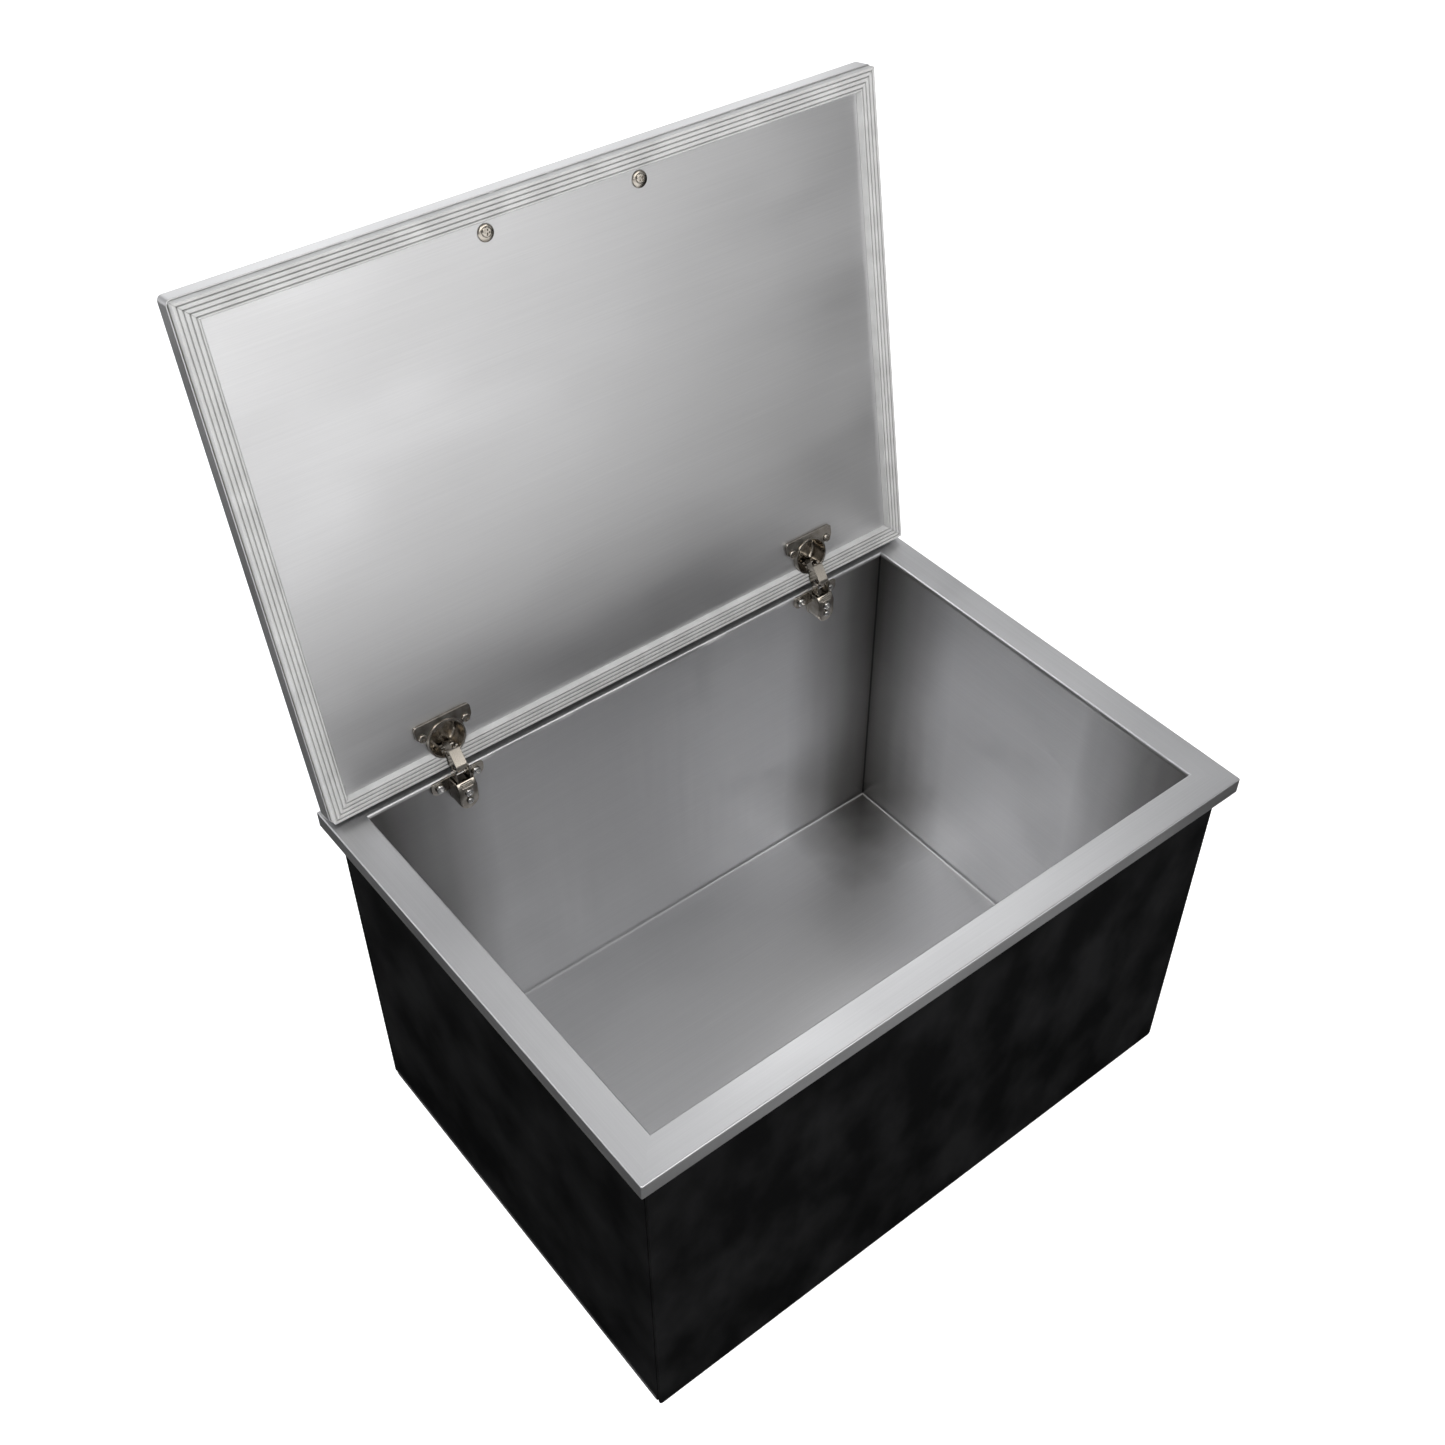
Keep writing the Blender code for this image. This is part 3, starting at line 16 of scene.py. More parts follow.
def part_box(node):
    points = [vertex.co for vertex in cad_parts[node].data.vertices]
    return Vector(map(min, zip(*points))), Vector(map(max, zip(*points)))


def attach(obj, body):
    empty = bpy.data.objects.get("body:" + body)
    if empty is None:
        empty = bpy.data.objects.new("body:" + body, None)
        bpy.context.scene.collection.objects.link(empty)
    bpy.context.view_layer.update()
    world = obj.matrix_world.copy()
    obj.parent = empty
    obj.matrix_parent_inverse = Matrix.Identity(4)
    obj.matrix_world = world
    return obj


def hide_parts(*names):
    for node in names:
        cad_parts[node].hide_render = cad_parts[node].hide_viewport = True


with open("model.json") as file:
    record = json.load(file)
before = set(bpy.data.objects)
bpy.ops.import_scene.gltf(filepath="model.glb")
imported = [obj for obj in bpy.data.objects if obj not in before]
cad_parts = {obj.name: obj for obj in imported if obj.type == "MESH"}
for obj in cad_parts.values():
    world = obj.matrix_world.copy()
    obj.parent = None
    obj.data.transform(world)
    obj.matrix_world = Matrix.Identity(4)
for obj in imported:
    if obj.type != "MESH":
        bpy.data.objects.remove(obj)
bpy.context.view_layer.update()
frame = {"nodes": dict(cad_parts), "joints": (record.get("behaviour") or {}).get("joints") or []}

bl_info = {
    "name": "Drop in bin",
    "version": (1, 0, 0),
    "blender": (4, 5, 0),
    "location": "3D View > Sidebar > Bin",
    "description": "Builds the pieces and finishes of a drop in bin with a hinged lid",
    "category": "Object",
}

# Values that the shapes share: points closer than TINY are one, cutters run OVERRUN past what they cut,
# and a direction counts as square on to an axis when more than SQUARE of it lies along that axis
MM = 0.001
TINY = 0.000003
ROUND_STEPS = 48
SMALL_STEPS = 24
SLOT_STEPS = 18
SMOOTH_ANGLE = radians(35)
PRESSED_ANGLE = radians(50)
OVERRUN = 0.002
SQUARE = 0.9

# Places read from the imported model
JOINTS = {joint["name"]: Vector(joint["pos_m"]) for joint in frame["joints"] if "pos_m" in joint}
BIN_LOW, BIN_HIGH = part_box("basin_and_flange")
ARM_PIN, LID_PIN = JOINTS["outer_link_turn"], JOINTS["lid_hinge"]
HINGE_MIDDLES = {side: sum(c.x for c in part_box("hinge_cup_" + side)) / 2 for side in ("left", "right")}
LINK_TURN = atan2(LID_PIN.z - ARM_PIN.z, LID_PIN.y - ARM_PIN.y)
LINK_LENGTH = (LID_PIN - ARM_PIN).length

# The flange's flat strip, and the inside of the back wall, where the hinges are fixed
STRIP = 0.0280
WALL_Y = BIN_HIGH.y - STRIP

# The lid's own frame: X as the bin's, Y from the hinge side and Z out of the gasket's face
LID_OPEN = radians(80)
LID_PIN_ALONG = 0.0120
LID_PIN_DEPTH = 0.0030
LID = (
    Matrix.Translation(LID_PIN)
    @ Matrix.Rotation(LID_OPEN, 4, "X")
    @ Matrix.Translation((0, -LID_PIN_ALONG, LID_PIN_DEPTH))
)
LINK = Matrix.Translation(ARM_PIN) @ Matrix.Rotation(LINK_TURN, 4, "X")
FACING = Matrix.Rotation(pi / 2, 4, "X")
SIDEWAYS = Matrix(((0, 0, 1, 0), (1, 0, 0, 0), (0, 1, 0, 0), (0, 0, 0, 1)))


def srgb(code):
    """Linear colour from a hex code."""
    values = [int(code[place : place + 2], 16) / 255 for place in (1, 3, 5)]
    return tuple(v / 12.92 if v <= 0.04045 else ((v + 0.055) / 1.055) ** 2.4 for v in values)


def size(name, description, default):
    return FloatProperty(name=name, description=description, default=default, precision=4, unit="LENGTH")


def colour(name, description, code):
    return FloatVectorProperty(name=name, description=description, default=srgb(code), subtype="COLOR")


class BinSheetSizes(bpy.types.PropertyGroup):
    strip: size("Flange strip", "Width of the flange's flat strip", STRIP)
    lip: size("Lip", "Height of the turned-down lip", 0.0140)
    sheet: size("Sheet", "Thickness of the stainless sheet", 0.0012)
    lip_corner: size("Lip corner", "Radius of the lip's corners and of its bend", 0.0012)
    inner_bend: size("Inner bend", "Radius of the bend from strip to wall", 0.0014)
    floor_bend: size("Floor bend", "Radius of the bend from wall to floor", 0.0030)
    jacket_round: size("Jacket round", "Radius of the jacket's outer edges", 0.0014)
    jacket_foot: size("Jacket foot", "Radius of the jacket panels' lower corners", 0.0030)
    jacket_seam: size("Jacket seam", "Opening of the seam at each upright corner", 0.0010)
    drain_hole: size("Drain hole", "Radius of the hole in the floor", 0.0163)


class BinDrainSizes(bpy.types.PropertyGroup):
    tail: size("Tail", "Outer radius of the drain's tail", 0.0160)
    bore: size("Bore", "Inner radius of the drain's tail", 0.0125)
    seat: size("Seat", "Radius of the recess that holds the strainer", 0.0188)
    seat_depth: size("Seat depth", "Depth of the recess that holds the strainer", 0.0015)
    flange: size("Drain flange", "Thickness of the drain's flange", 0.0035)
    slope: size("Slope", "Width of the slope round the drain's flange", 0.0040)
    edge: size("Flange edge", "Width of the steeper part of that slope", 0.0010)
    disc: size("Disc", "Thickness of the strainer's disc", 0.0012)
    hole: size("Strainer hole", "Radius of the strainer's holes", 0.0019)
    hole_ring: size("Hole ring", "Radius of the inner ring of holes", 0.0090)
    ring_gap: size("Ring gap", "Distance between the two rings of holes", 0.0045)
    knob: size("Knob", "Radius of the strainer's knob", 0.0034)
    neck: size("Neck", "Radius of the knob's neck", 0.0020)
    holes: IntProperty(name="Holes", description="Number of holes in each ring", default=8)


class BinLidSizes(bpy.types.PropertyGroup):
    gasket: size("Gasket", "Width of the gasket strips", 0.0150)
    gasket_height: size("Gasket height", "Height of the gasket strips", 0.0086)
    gasket_seat: size("Gasket seat", "Width of the gasket's base beside the inner panel", 0.0100)
    rib_pitch: size("Rib pitch", "Distance between the gasket's ribs", 0.0034)
    groove: size("Groove", "Width of the grooves between the ribs", 0.0009)
    groove_depth: size("Groove depth", "Depth of the grooves between the ribs", 0.0020)
    land: size("Land", "Distance of the first groove from the gasket's outer edge", 0.0026)
    far_draw: size("Far draw", "How far the pan's front wall is drawn in from the edge", 0.0005)
    reveal: size("Reveal", "Height of the dark gap below the front strip", 0.0013)
    length: size("Lid length", "Outside length of the gasket", 0.5700)
    depth: size("Lid depth", "Outside depth of the gasket", 0.4055)
    overhang: size("Pan overhang", "How far the pan reaches past the gasket", 0.00175)
    pan_rim: size("Pan rim", "Depth of the pan's rim below the gasket's face", 0.0060)
    pan_hem: size("Pan hem", "Width of the flat part of the pan's rim", 0.0005)
    thickness: size("Thickness", "Thickness of the whole lid", 0.0210)
    pan_sheet: size("Pan sheet", "Thickness of the pan's sheet", 0.0010)
    pan_corner: size("Pan corner", "Radius of the pan's corners", 0.0042)
    pan_bend: size("Pan bend", "Radius of the bend round the pan's face", 0.0016)
    pan_edge: size("Pan edge", "Radius of the bend round the pan's rim", 0.0005)
    panel_depth: size("Panel depth", "Depth of the inner panel below the gasket's face", 0.0045)
    panel_sheet: size("Panel sheet", "Thickness of the inner panel", 0.0010)
    handle_along: size("Handle place", "Distance of the handle from the hinge side", 0.3820)
    handle_spacing: size("Handle spacing", "Distance between the handle's feet", 0.1280)
    handle_rod: size("Handle rod", "Radius of the handle's rod", 0.0050)
    handle_reach: size("Handle reach", "How far the handle stands out", 0.0320)
    handle_bend: size("Handle bend", "Radius of the handle's bends", 0.0140)


class BinHingeSizes(bpy.types.PropertyGroup):
    cup: size("Cup", "Inner radius of the cup", 0.0150)
    cup_wall: size("Cup wall", "Thickness of the cup's wall", 0.0015)
    cup_along: size("Cup place", "Distance of the cup's middle from the hinge side", 0.0245)
    cup_depth: size("Cup depth", "Depth of the cup's floor", 0.0160)
    cup_rim: size("Cup rim", "Depth of the cup's rim below the gasket's face", 0.0007)
    plate_half: size("Plate half", "Half of the cup plate's width", 0.0245)
    plate_start: size("Plate start", "Start of the cup plate's ears", 0.0318)
    plate_groove: size("Plate groove", "Width of the line round the cup plate's edge", 0.0004)
    plate_end: size("Plate end", "End of the cup plate", 0.0450)
    plate_face: size("Plate face", "Depth of the cup plate's face", 0.0015)
    arm_half: size("Arm half", "Half of the arm's width", 0.0085)
    arm_off: size("Arm off", "Distance of the arm's face from the wall", 0.0172)
    arm_top_off: size("Arm top off", "Distance of the arm's top edge from the wall", 0.0135)
    arm_step: size("Arm step", "Drop of the arm's step", 0.0060)
    arm_length: size("Arm length", "Length of the arm below the flange", 0.0270)
    arm_sheet: size("Arm sheet", "Thickness of the arm's sheet", 0.0012)
    arm_bend: size("Arm bend", "Radius of the bend round the arm's face", 0.0013)
    slot: size("Slot", "Half of the width of the arm's slot", 0.0023)
    slot_reach: size("Slot reach", "Half of the straight part of the arm's slot", 0.0022)
    slot_down: size("Slot place", "Distance of the slot's middle below the flange", 0.0112)
    hole: size("Hole", "Radius of the arm's round hole", 0.0024)
    hole_down: size("Hole place", "Distance of the round hole below the flange", 0.0185)
    cheek_inside: size("Cheek inside", "Inside of the nose's cheeks", 0.0052)
    cheek: size("Cheek", "Thickness of the nose's cheeks", 0.0013)
    wing_half: size("Wing half", "Half of the mounting plate's width", 0.0235)
    wing_height: size("Wing height", "Height of the mounting plate's wings", 0.0130)
    wing_sheet: size("Wing sheet", "Thickness of the mounting plate", 0.0015)
    strap_half: size("Strap half", "Half of the strap's width", 0.00485)
    strap_rise: size("Strap rise", "Distance of the strap from its pins", 0.0105)
    strap_sheet: size("Strap sheet", "Thickness of the strap", 0.0012)
    strap_bend: size("Strap bend", "Distance of the strap's bend from the arm's pin", 0.0058)
    strap_past: size("Strap past", "How far the strap reaches past the cup's pin", 0.0010)
    strap_end: size("Strap end", "Length of the strap's turned down end", 0.0034)
    pin: size("Pin", "Radius of the pins", 0.0012)


class BinColours(bpy.types.PropertyGroup):
    steel_light: colour("Steel light", "Light streaks of the brushed sheet", "#dededf")
    steel_dark: colour("Steel dark", "Dark streaks of the brushed sheet", "#d8d8d9")
    # Painted shade: the grey that darkens the basin's upright inner corners
    steel_corner_shade: colour("Steel corner shade", "Painted shade in the basin's upright inner corners", "#5c5a57")
    hinge: colour("Hinge", "Tumbled stainless of the hinges", "#c2bcb3")
    hinge_dark: colour("Hinge shade", "Darker patches of the hinges", "#9d968c")
    fitting: colour("Fitting", "Turned stainless of the handle and drain", "#bdbcba")
    screw: colour("Screw", "Bright screws", "#d2d1cf")
    jacket_dark: colour("Jacket dark", "Dark of the black jacket", "#050506")
    jacket_light: colour("Jacket light", "Light smoky patches of the jacket", "#171718")
    gasket: colour("Gasket", "Light grey of the gasket", "#d2d2d1")
    seal: colour("Seal", "Black of the drain's seal", "#1b1b1b")
    foam: colour("Foam", "Pale yellow of the insulation", "#e0d2a6")


def settings():
    """The scene's groups of sizes and of colours."""
    return [getattr(bpy.context.scene, name) for name in GROUPS]


# Shapes
def block(low, high):
    """Box between two corners."""
    low, high = Vector(low), Vector(high)
    shape = bmesh.new()
    bmesh.ops.create_cube(shape, size=1)
    bmesh.ops.scale(shape, vec=high - low, verts=shape.verts)
    bmesh.ops.translate(shape, vec=(high + low) / 2, verts=shape.verts)
    return shape


def bevel(shape, items, offset, segments, affect):
    """Round edges, or the corners of a flat outline."""
    bmesh.ops.bevel(
        shape, geom=items, offset=offset, offset_type="OFFSET", segments=segments, profile=0.5, affect=affect
    )


def round_off(shape, radius, chosen, segments=4):
    """Round the edges whose middle and direction pass a test."""
    edges = []
    for edge in shape.edges:
        start, end = edge.verts[0].co, edge.verts[1].co
        if chosen((start + end) / 2, (end - start).normalized()):
            edges.append(edge)
    bevel(shape, edges, radius, segments, "EDGES")


def fillet(shape, vert, radius, segments):
    """Round one corner of a flat outline to a radius."""
    before, after = [edge.other_vert(vert).co - vert.co for edge in vert.link_edges]
    bevel(shape, [vert], radius / tan(before.angle(after) / 2), segments, "VERTICES")


def only(kind, items):
    """Items of one kind among what an operator made."""
    return [item for item in items if isinstance(item, kind)]


def edges_of(verts):
    """Edges at some verts, each once and in the same order in every run."""
    return list(dict.fromkeys(edge for vert in verts for edge in vert.link_edges))


def ring(shape, across, up, level, radius, reach=0, steps=SMALL_STEPS):
    """Round loop of edges, or with a reach the outline of an upright slot."""
    made = bmesh.ops.create_circle(shape, cap_ends=False, radius=radius, segments=steps)["verts"]
    for vert in made:
        vert.co.y += reach if vert.co.y > 0 else -reach
    bmesh.ops.translate(shape, vec=(across, up, level), verts=made)
    return edges_of(made)


def filled(shape, edges, normal=(0, 0, 1)):
    """Fill a flat outline, with holes where it has inner loops."""
    bmesh.ops.triangle_fill(shape, edges=edges, use_beauty=True, use_dissolve=False, normal=normal)


def pierce(shape, face, *rings):
    """Replace a flat face by one with holes."""
    edges = list(face.edges) + sum(rings, [])
    normal = face.normal.copy()
    bmesh.ops.delete(shape, geom=[face], context="FACES_ONLY")
    filled(shape, edges, normal)


def raised(shape, height):
    """Draw a flat shape up to a height."""
    made = bmesh.ops.extrude_face_region(shape, geom=shape.faces[:])["geom"]
    bmesh.ops.translate(shape, vec=(0, 0, height), verts=only(bmesh.types.BMVert, made))


def rectangle(left, low, right, high, first=0, last=0):
    """Corners of a rectangle for a plate, with the fillet radii of its first two and its last two."""
    return (left, low, first), (right, low, first), (right, high, last), (left, high, last)


def plate(corners, low, high, holes=(), segments=6):
    """Plate in XY between two levels, from corners with fillet radii and round holes."""
    shape = bmesh.new()
    verts = [shape.verts.new((across, up, 0)) for across, up, _ in corners]
    shape.faces.new(verts)
    for vert, (_, _, radius) in zip(verts, corners):
        if radius:
            fillet(shape, vert, radius, segments)
    bmesh.ops.remove_doubles(shape, verts=shape.verts, dist=TINY)
    shape.faces.ensure_lookup_table()
    if holes:
        shape.normal_update()
        pierce(shape, shape.faces[0], *[ring(shape, across, up, 0, radius) for across, up, radius in holes])
    raised(shape, high - low)
    bmesh.ops.translate(shape, vec=(0, 0, low), verts=shape.verts)
    bmesh.ops.recalc_face_normals(shape, faces=shape.faces)
    return shape


def swept(shape, geom, centre, axis, angle, steps, closed=False):
    """Turn geometry about an axis, and give what stands at the end."""
    made = bmesh.ops.spin(
        shape, geom=geom, cent=centre, axis=axis, dvec=(0, 0, 0), angle=angle, steps=steps, use_merge=closed,
        use_normal_flip=False, use_duplicate=False,
    )
    return made["geom_last"]


def spun(profile, steps=ROUND_STEPS):
    """Shape of revolution about Z, from points of radius and height."""
    shape = bmesh.new()
    points = [shape.verts.new((radius, 0, height)) for radius, height in profile]
    edges = [shape.edges.new(pair) for pair in zip(points, points[1:])]
    swept(shape, points + edges, (0, 0, 0), (0, 0, 1), 2 * pi, steps, True)
    bmesh.ops.remove_doubles(shape, verts=shape.verts, dist=TINY)
    bmesh.ops.recalc_face_normals(shape, faces=shape.faces)
    return shape


def quarter(steps):
    """Sine and cosine at even steps of a quarter turn."""
    return [(sin(pi / 2 * step / steps), cos(pi / 2 * step / steps)) for step in range(steps + 1)]


def placed(shape, *matrices):
    """Move and turn a shape by matrices, the last one first."""
    whole = Matrix.Identity(4)
    for matrix in matrices:
        whole = whole @ matrix
    bmesh.ops.transform(shape, matrix=whole, verts=shape.verts)
    return shape


def mesh_of(name, shape):
    """Mesh that takes over a shape."""
    mesh = bpy.data.meshes.new(name)
    shape.to_mesh(mesh)
    shape.free()
    return mesh


def item_of(name, data):
    """New object in the scene."""
    item = bpy.data.objects.new(name, data)
    bpy.context.scene.collection.objects.link(item)
    return item


def gathered(*shapes):
    """One shape that holds several."""
    whole = bmesh.new()
    for shape in shapes:
        mesh = mesh_of("gathered", shape)
        whole.from_mesh(mesh)
        bpy.data.meshes.remove(mesh)
    return whole


def carved(shape, *cutters):
    """Shape with others cut out of it, for notches that no bmesh operator makes."""
    items = [item_of("carved", mesh_of("carved", solid)) for solid in (shape, *cutters)]
    for item in items[1:]:
        modifier = items[0].modifiers.new("notch", "BOOLEAN")
        modifier.operation = "DIFFERENCE"
        modifier.solver = "EXACT"
        modifier.object = item
    bpy.context.view_layer.update()
    whole = bmesh.new()
    whole.from_object(items[0], bpy.context.evaluated_depsgraph_get())
    for item in items:
        bpy.data.objects.remove(item, do_unlink=True)
    return whole


def at(across, along=0, out=0):
    return Matrix.Translation((across, along, out))


def upright(middle, along):
    return abs(along.z) > SQUARE


def both_sides(corners, low, high):
    """Two plates that stand on edge, one at each side of the middle."""
    return [placed(plate(corners, *ends), SIDEWAYS) for ends in ((-high, -low), (low, high))]


def cut(shape, spot, normal):
    """Split the faces of a shape where a plane crosses them."""
    everything = shape.verts[:] + shape.edges[:] + shape.faces[:]
    bmesh.ops.bisect_plane(shape, geom=everything, plane_co=spot, plane_no=normal)


# Pieces
def piece(name, shape, finish, body, stands_for=(), edge=0, sheet=0, segments=2, angle=SMOOTH_ANGLE):
    """Make a piece that rides on a body, with rolled edges and a sheet's thickness where given."""
    mesh = mesh_of(name, shape)
    mesh.materials.append(finish)
    item = item_of(name, mesh)
    mesh.shade_smooth()
    if sheet:
        wall = item.modifiers.new("sheet", "SOLIDIFY")
        wall.thickness = sheet
        wall.offset = -1
        wall.use_even_offset = True
    if edge:
        rolled = item.modifiers.new("edges", "BEVEL")
        rolled.width = edge
        rolled.segments = segments
        rolled.limit_method = "ANGLE"
        rolled.angle_limit = angle
        rolled.harden_normals = True
    else:
        mesh.set_sharp_from_angle(angle=angle)
        flat = item.modifiers.new("flat_faces", "WEIGHTED_NORMAL")
        flat.keep_sharp = True
        flat.weight = 100
    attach(item, body)
    if stands_for:
        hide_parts(*stands_for)
    return item


def dress(node, finish):
    """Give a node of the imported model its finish."""
    mesh = frame["nodes"][node].data
    mesh.materials.clear()
    mesh.materials.append(finish)


# Finishes
def add(tree, kind, inputs=(), **values):
    """Add a node, with its settings and with each input set or linked."""
    made = tree.nodes.new(kind)
    for name, value in values.items():
        setattr(made, name, value)
    for key, value in dict(inputs).items():
        socket = made.inputs[key]
        if isinstance(value, bpy.types.NodeSocket):
            tree.links.new(value, socket)
        else:
            socket.default_value = value
    return made


def started(name, **sockets):
    """A new material with its Principled shader's constants, its tree and its coordinates."""
    made = bpy.data.materials.new(name)
    made.use_nodes = True
    tree = made.node_tree
    shader = tree.nodes["Principled BSDF"]
    for key, value in sockets.items():
        shader.inputs[key.replace("_", " ")].default_value = value
    coordinates = add(tree, "ShaderNodeTexCoord")
    return made, tree, shader, coordinates.outputs["Object"]


def rgba(value):
    return (*value, 1)


def blended(tree, factor, first, second):
    """Colour between two colours or colour sockets."""
    mix = add(tree, "ShaderNodeMix", data_type="RGBA")
    for key, value in ((0, factor), (6, first), (7, second)):
        if isinstance(value, bpy.types.NodeSocket):
            tree.links.new(value, mix.inputs[key])
        else:
            mix.inputs[key].default_value = value if key == 0 else rgba(value)
    return mix.outputs[2]


ALONG_X, ALONG_Y, ALONG_Z = 0, 1, 2


def streaks(tree, spot, along, across, axis=ALONG_X, detail=3.0):
    """Noise drawn out along one axis, between 0 and 1."""
    scale = [1 / across] * 3
    scale[axis] = 1 / along
    mapped = add(tree, "ShaderNodeMapping", {"Vector": spot, "Scale": scale})
    noise = add(tree, "ShaderNodeTexNoise", {"Vector": mapped.outputs[0], "Scale": 1.0, "Detail": detail})
    return noise.outputs["Fac"]


def ranged(tree, value, low, high, start=0.3, end=0.7):
    """Map a value from one range to another, held at its ends."""
    given = {"Value": value, "From Min": start, "From Max": end, "To Min": low, "To Max": high}
    return add(tree, "ShaderNodeMapRange", given, clamp=True).outputs[0]


def bumped(tree, shader, height, distance, strength=1.0, under=None):
    inputs = {"Height": height, "Distance": distance, "Strength": strength}
    if under:
        inputs["Normal"] = under
    bump = add(tree, "ShaderNodeBump", inputs)
    tree.links.new(bump.outputs[0], shader.inputs["Normal"])
    return bump.outputs[0]


def maths(tree, operation, *values):
    """Result of a maths node, from values or sockets."""
    return add(tree, "ShaderNodeMath", enumerate(values), operation=operation).outputs[0]


def coat(tree, shader, colour, roughness):
    """Link a shader's colour and its roughness."""
    tree.links.new(colour, shader.inputs["Base Color"])
    tree.links.new(roughness, shader.inputs["Roughness"])


# A no. 4 brushed sheet has a scratch every 0.1 mm. They are drawn 0.8 mm apart, so that they show.
GRAIN_LENGTH = 90 * MM
GRAIN_WIDTH = 0.8 * MM
WAVE = 160 * MM


def brushed_sheet(name, colours, axis=ALONG_X, light=None, dark=None, rough=(0.36, 0.46), grain=0.02 * MM):
    """Stainless sheet, ground with a belt: fine streaks along one way that spread the reflections across."""
    made, tree, shader, spot = started(name, Metallic=1.0)
    fine = streaks(tree, spot, GRAIN_LENGTH, GRAIN_WIDTH, axis)
    broad = streaks(tree, spot, 3 * GRAIN_LENGTH, 9 * GRAIN_WIDTH, axis)
    clouds = streaks(tree, spot, WAVE, WAVE / 2, axis, detail=2.0)
    steel_light, steel_dark = light or colours.steel_light, dark or colours.steel_dark
    streaked = blended(tree, ranged(tree, fine, 0.0, 1.0), steel_dark, steel_light)
    worn = blended(tree, ranged(tree, broad, 0.0, 0.35), streaked, steel_dark)
    mixed = maths(tree, "MULTIPLY_ADD", fine, clouds, clouds)
    coat(tree, shader, worn, ranged(tree, mixed, rough[0], rough[1], 0.45, 1.0))
    wave = bumped(tree, shader, clouds, 0.6 * MM, 0.5)
    bumped(tree, shader, fine, grain, 1.0, wave)
    return made


def sheet_with_painted_corner_shade(name, colours):
    """Brushed sheet of the basin and flange: the grain turns at each mitre, where the weld is polished, and
    painted shade darkens the basin's upright inner corners.
    """
    made, tree, shader, spot = started(name, Metallic=1.0)
    sheet = bpy.context.scene.bin_sheet
    split = add(tree, "ShaderNodeSeparateXYZ", {0: spot})
    height = split.outputs["Z"]
    # Distance past the basin's walls along X and along Y: below zero inside, above zero on the flange
    past = []
    for socket, half in ((split.outputs["X"], BIN_HIGH.x), (split.outputs["Y"], BIN_HIGH.y)):
        past.append(maths(tree, "SUBTRACT", maths(tree, "ABSOLUTE", socket), half - sheet.strip))
    clouds = streaks(tree, spot, WAVE, WAVE / 2, detail=2.0)
    hazes = streaks(tree, spot, 420 * MM, 48 * MM, ALONG_Z, detail=2.0)
    smudge = streaks(tree, spot, 12 * MM, 12 * MM)
    # The grain runs along Y on the side strips and the side walls, and along X elsewhere
    mitre = maths(tree, "MULTIPLY_ADD", smudge, 6 * MM, maths(tree, "SUBTRACT", *past))
    at_side = ranged(tree, mitre, 0.0, 1.0, 2.5 * MM, 3.5 * MM)
    above = ranged(tree, height, 0.0, 1.0, BIN_LOW.z + 3 * MM, BIN_LOW.z + 5 * MM)
    at_side = maths(tree, "MULTIPLY", at_side, above)
    grains = []
    for along, across in ((GRAIN_LENGTH, GRAIN_WIDTH), (3 * GRAIN_LENGTH, 8 * GRAIN_WIDTH)):
        ways = [streaks(tree, spot, along, across, axis) for axis in (ALONG_X, ALONG_Y)]
        grains.append(add(tree, "ShaderNodeMix", {0: at_side, 2: ways[0], 3: ways[1]}).outputs[0])
    fine, broad = grains
    streaked = blended(tree, ranged(tree, fine, 0.0, 1.0), colours.steel_dark, colours.steel_light)
    worn = blended(tree, ranged(tree, broad, 0.0, 0.5), streaked, colours.steel_dark)
    # Painted shade: below the rim, the sheet near each upright inner corner is darkened towards a grey, and
    # right in the corner crease towards near black, as shade falls there
    below = ranged(tree, height, 1.0, 0.0, BIN_HIGH.z - 4 * MM, BIN_HIGH.z - 1 * MM)
    within = ranged(tree, maths(tree, "MAXIMUM", *past), 1.0, 0.0, 1.4 * MM, 1.8 * MM)
    inside = maths(tree, "MULTIPLY", below, within)
    to_weld = maths(tree, "MINIMUM", *past)
    # Painted shade: the grey grows towards each upright inner corner from about 80 mm away, with a wavering
    # edge
    beside = ranged(tree, maths(tree, "MULTIPLY_ADD", hazes, 50 * MM, to_weld), 0.0, 0.86, -80 * MM, 22 * MM)
    # Painted shade: a near black line right in the corner crease, along the weld, in the jacket's black
    seam = ranged(tree, to_weld, 0.0, 0.6, -1.6 * MM, -0.6 * MM)
    corner_shaded = blended(tree, maths(tree, "MULTIPLY", inside, beside), worn, colours.steel_corner_shade)
    corner_shaded = blended(tree, maths(tree, "MULTIPLY", inside, seam), corner_shaded, colours.jacket_dark)
    coat(tree, shader, corner_shaded, maths(tree, "MULTIPLY_ADD", inside, 0.05, ranged(tree, clouds, 0.28, 0.40)))
    wave = bumped(tree, shader, clouds, 1.0 * MM, 0.5)
    # The floor stays flat: the walls' swell dies out above it
    foot = ranged(tree, height, 0.0, 1.0, BIN_LOW.z + 3 * MM, BIN_LOW.z + 60 * MM)
    swell = maths(tree, "MULTIPLY", maths(tree, "MULTIPLY", inside, hazes), foot)
    swell = bumped(tree, shader, swell, 3.0 * MM, 0.7, wave)
    bumped(tree, shader, fine, 0.02 * MM, 1.0, swell)
    return made


def tumbled_steel(name, colours):
    """Pressed stainless, tumbled after stamping: half bright, with small soft dents and darker patches."""
    made, tree, shader, spot = started(name, Metallic=1.0)
    patches = streaks(tree, spot, 6 * MM, 6 * MM)
    dents = streaks(tree, spot, 1.5 * MM, 1.5 * MM, detail=2.0)
    shade = blended(tree, ranged(tree, patches, 0.0, 1.0), colours.hinge_dark, colours.hinge)
    coat(tree, shader, shade, ranged(tree, patches, 0.12, 0.24))
    bumped(tree, shader, dents, 0.04 * MM, 0.4)
    return made


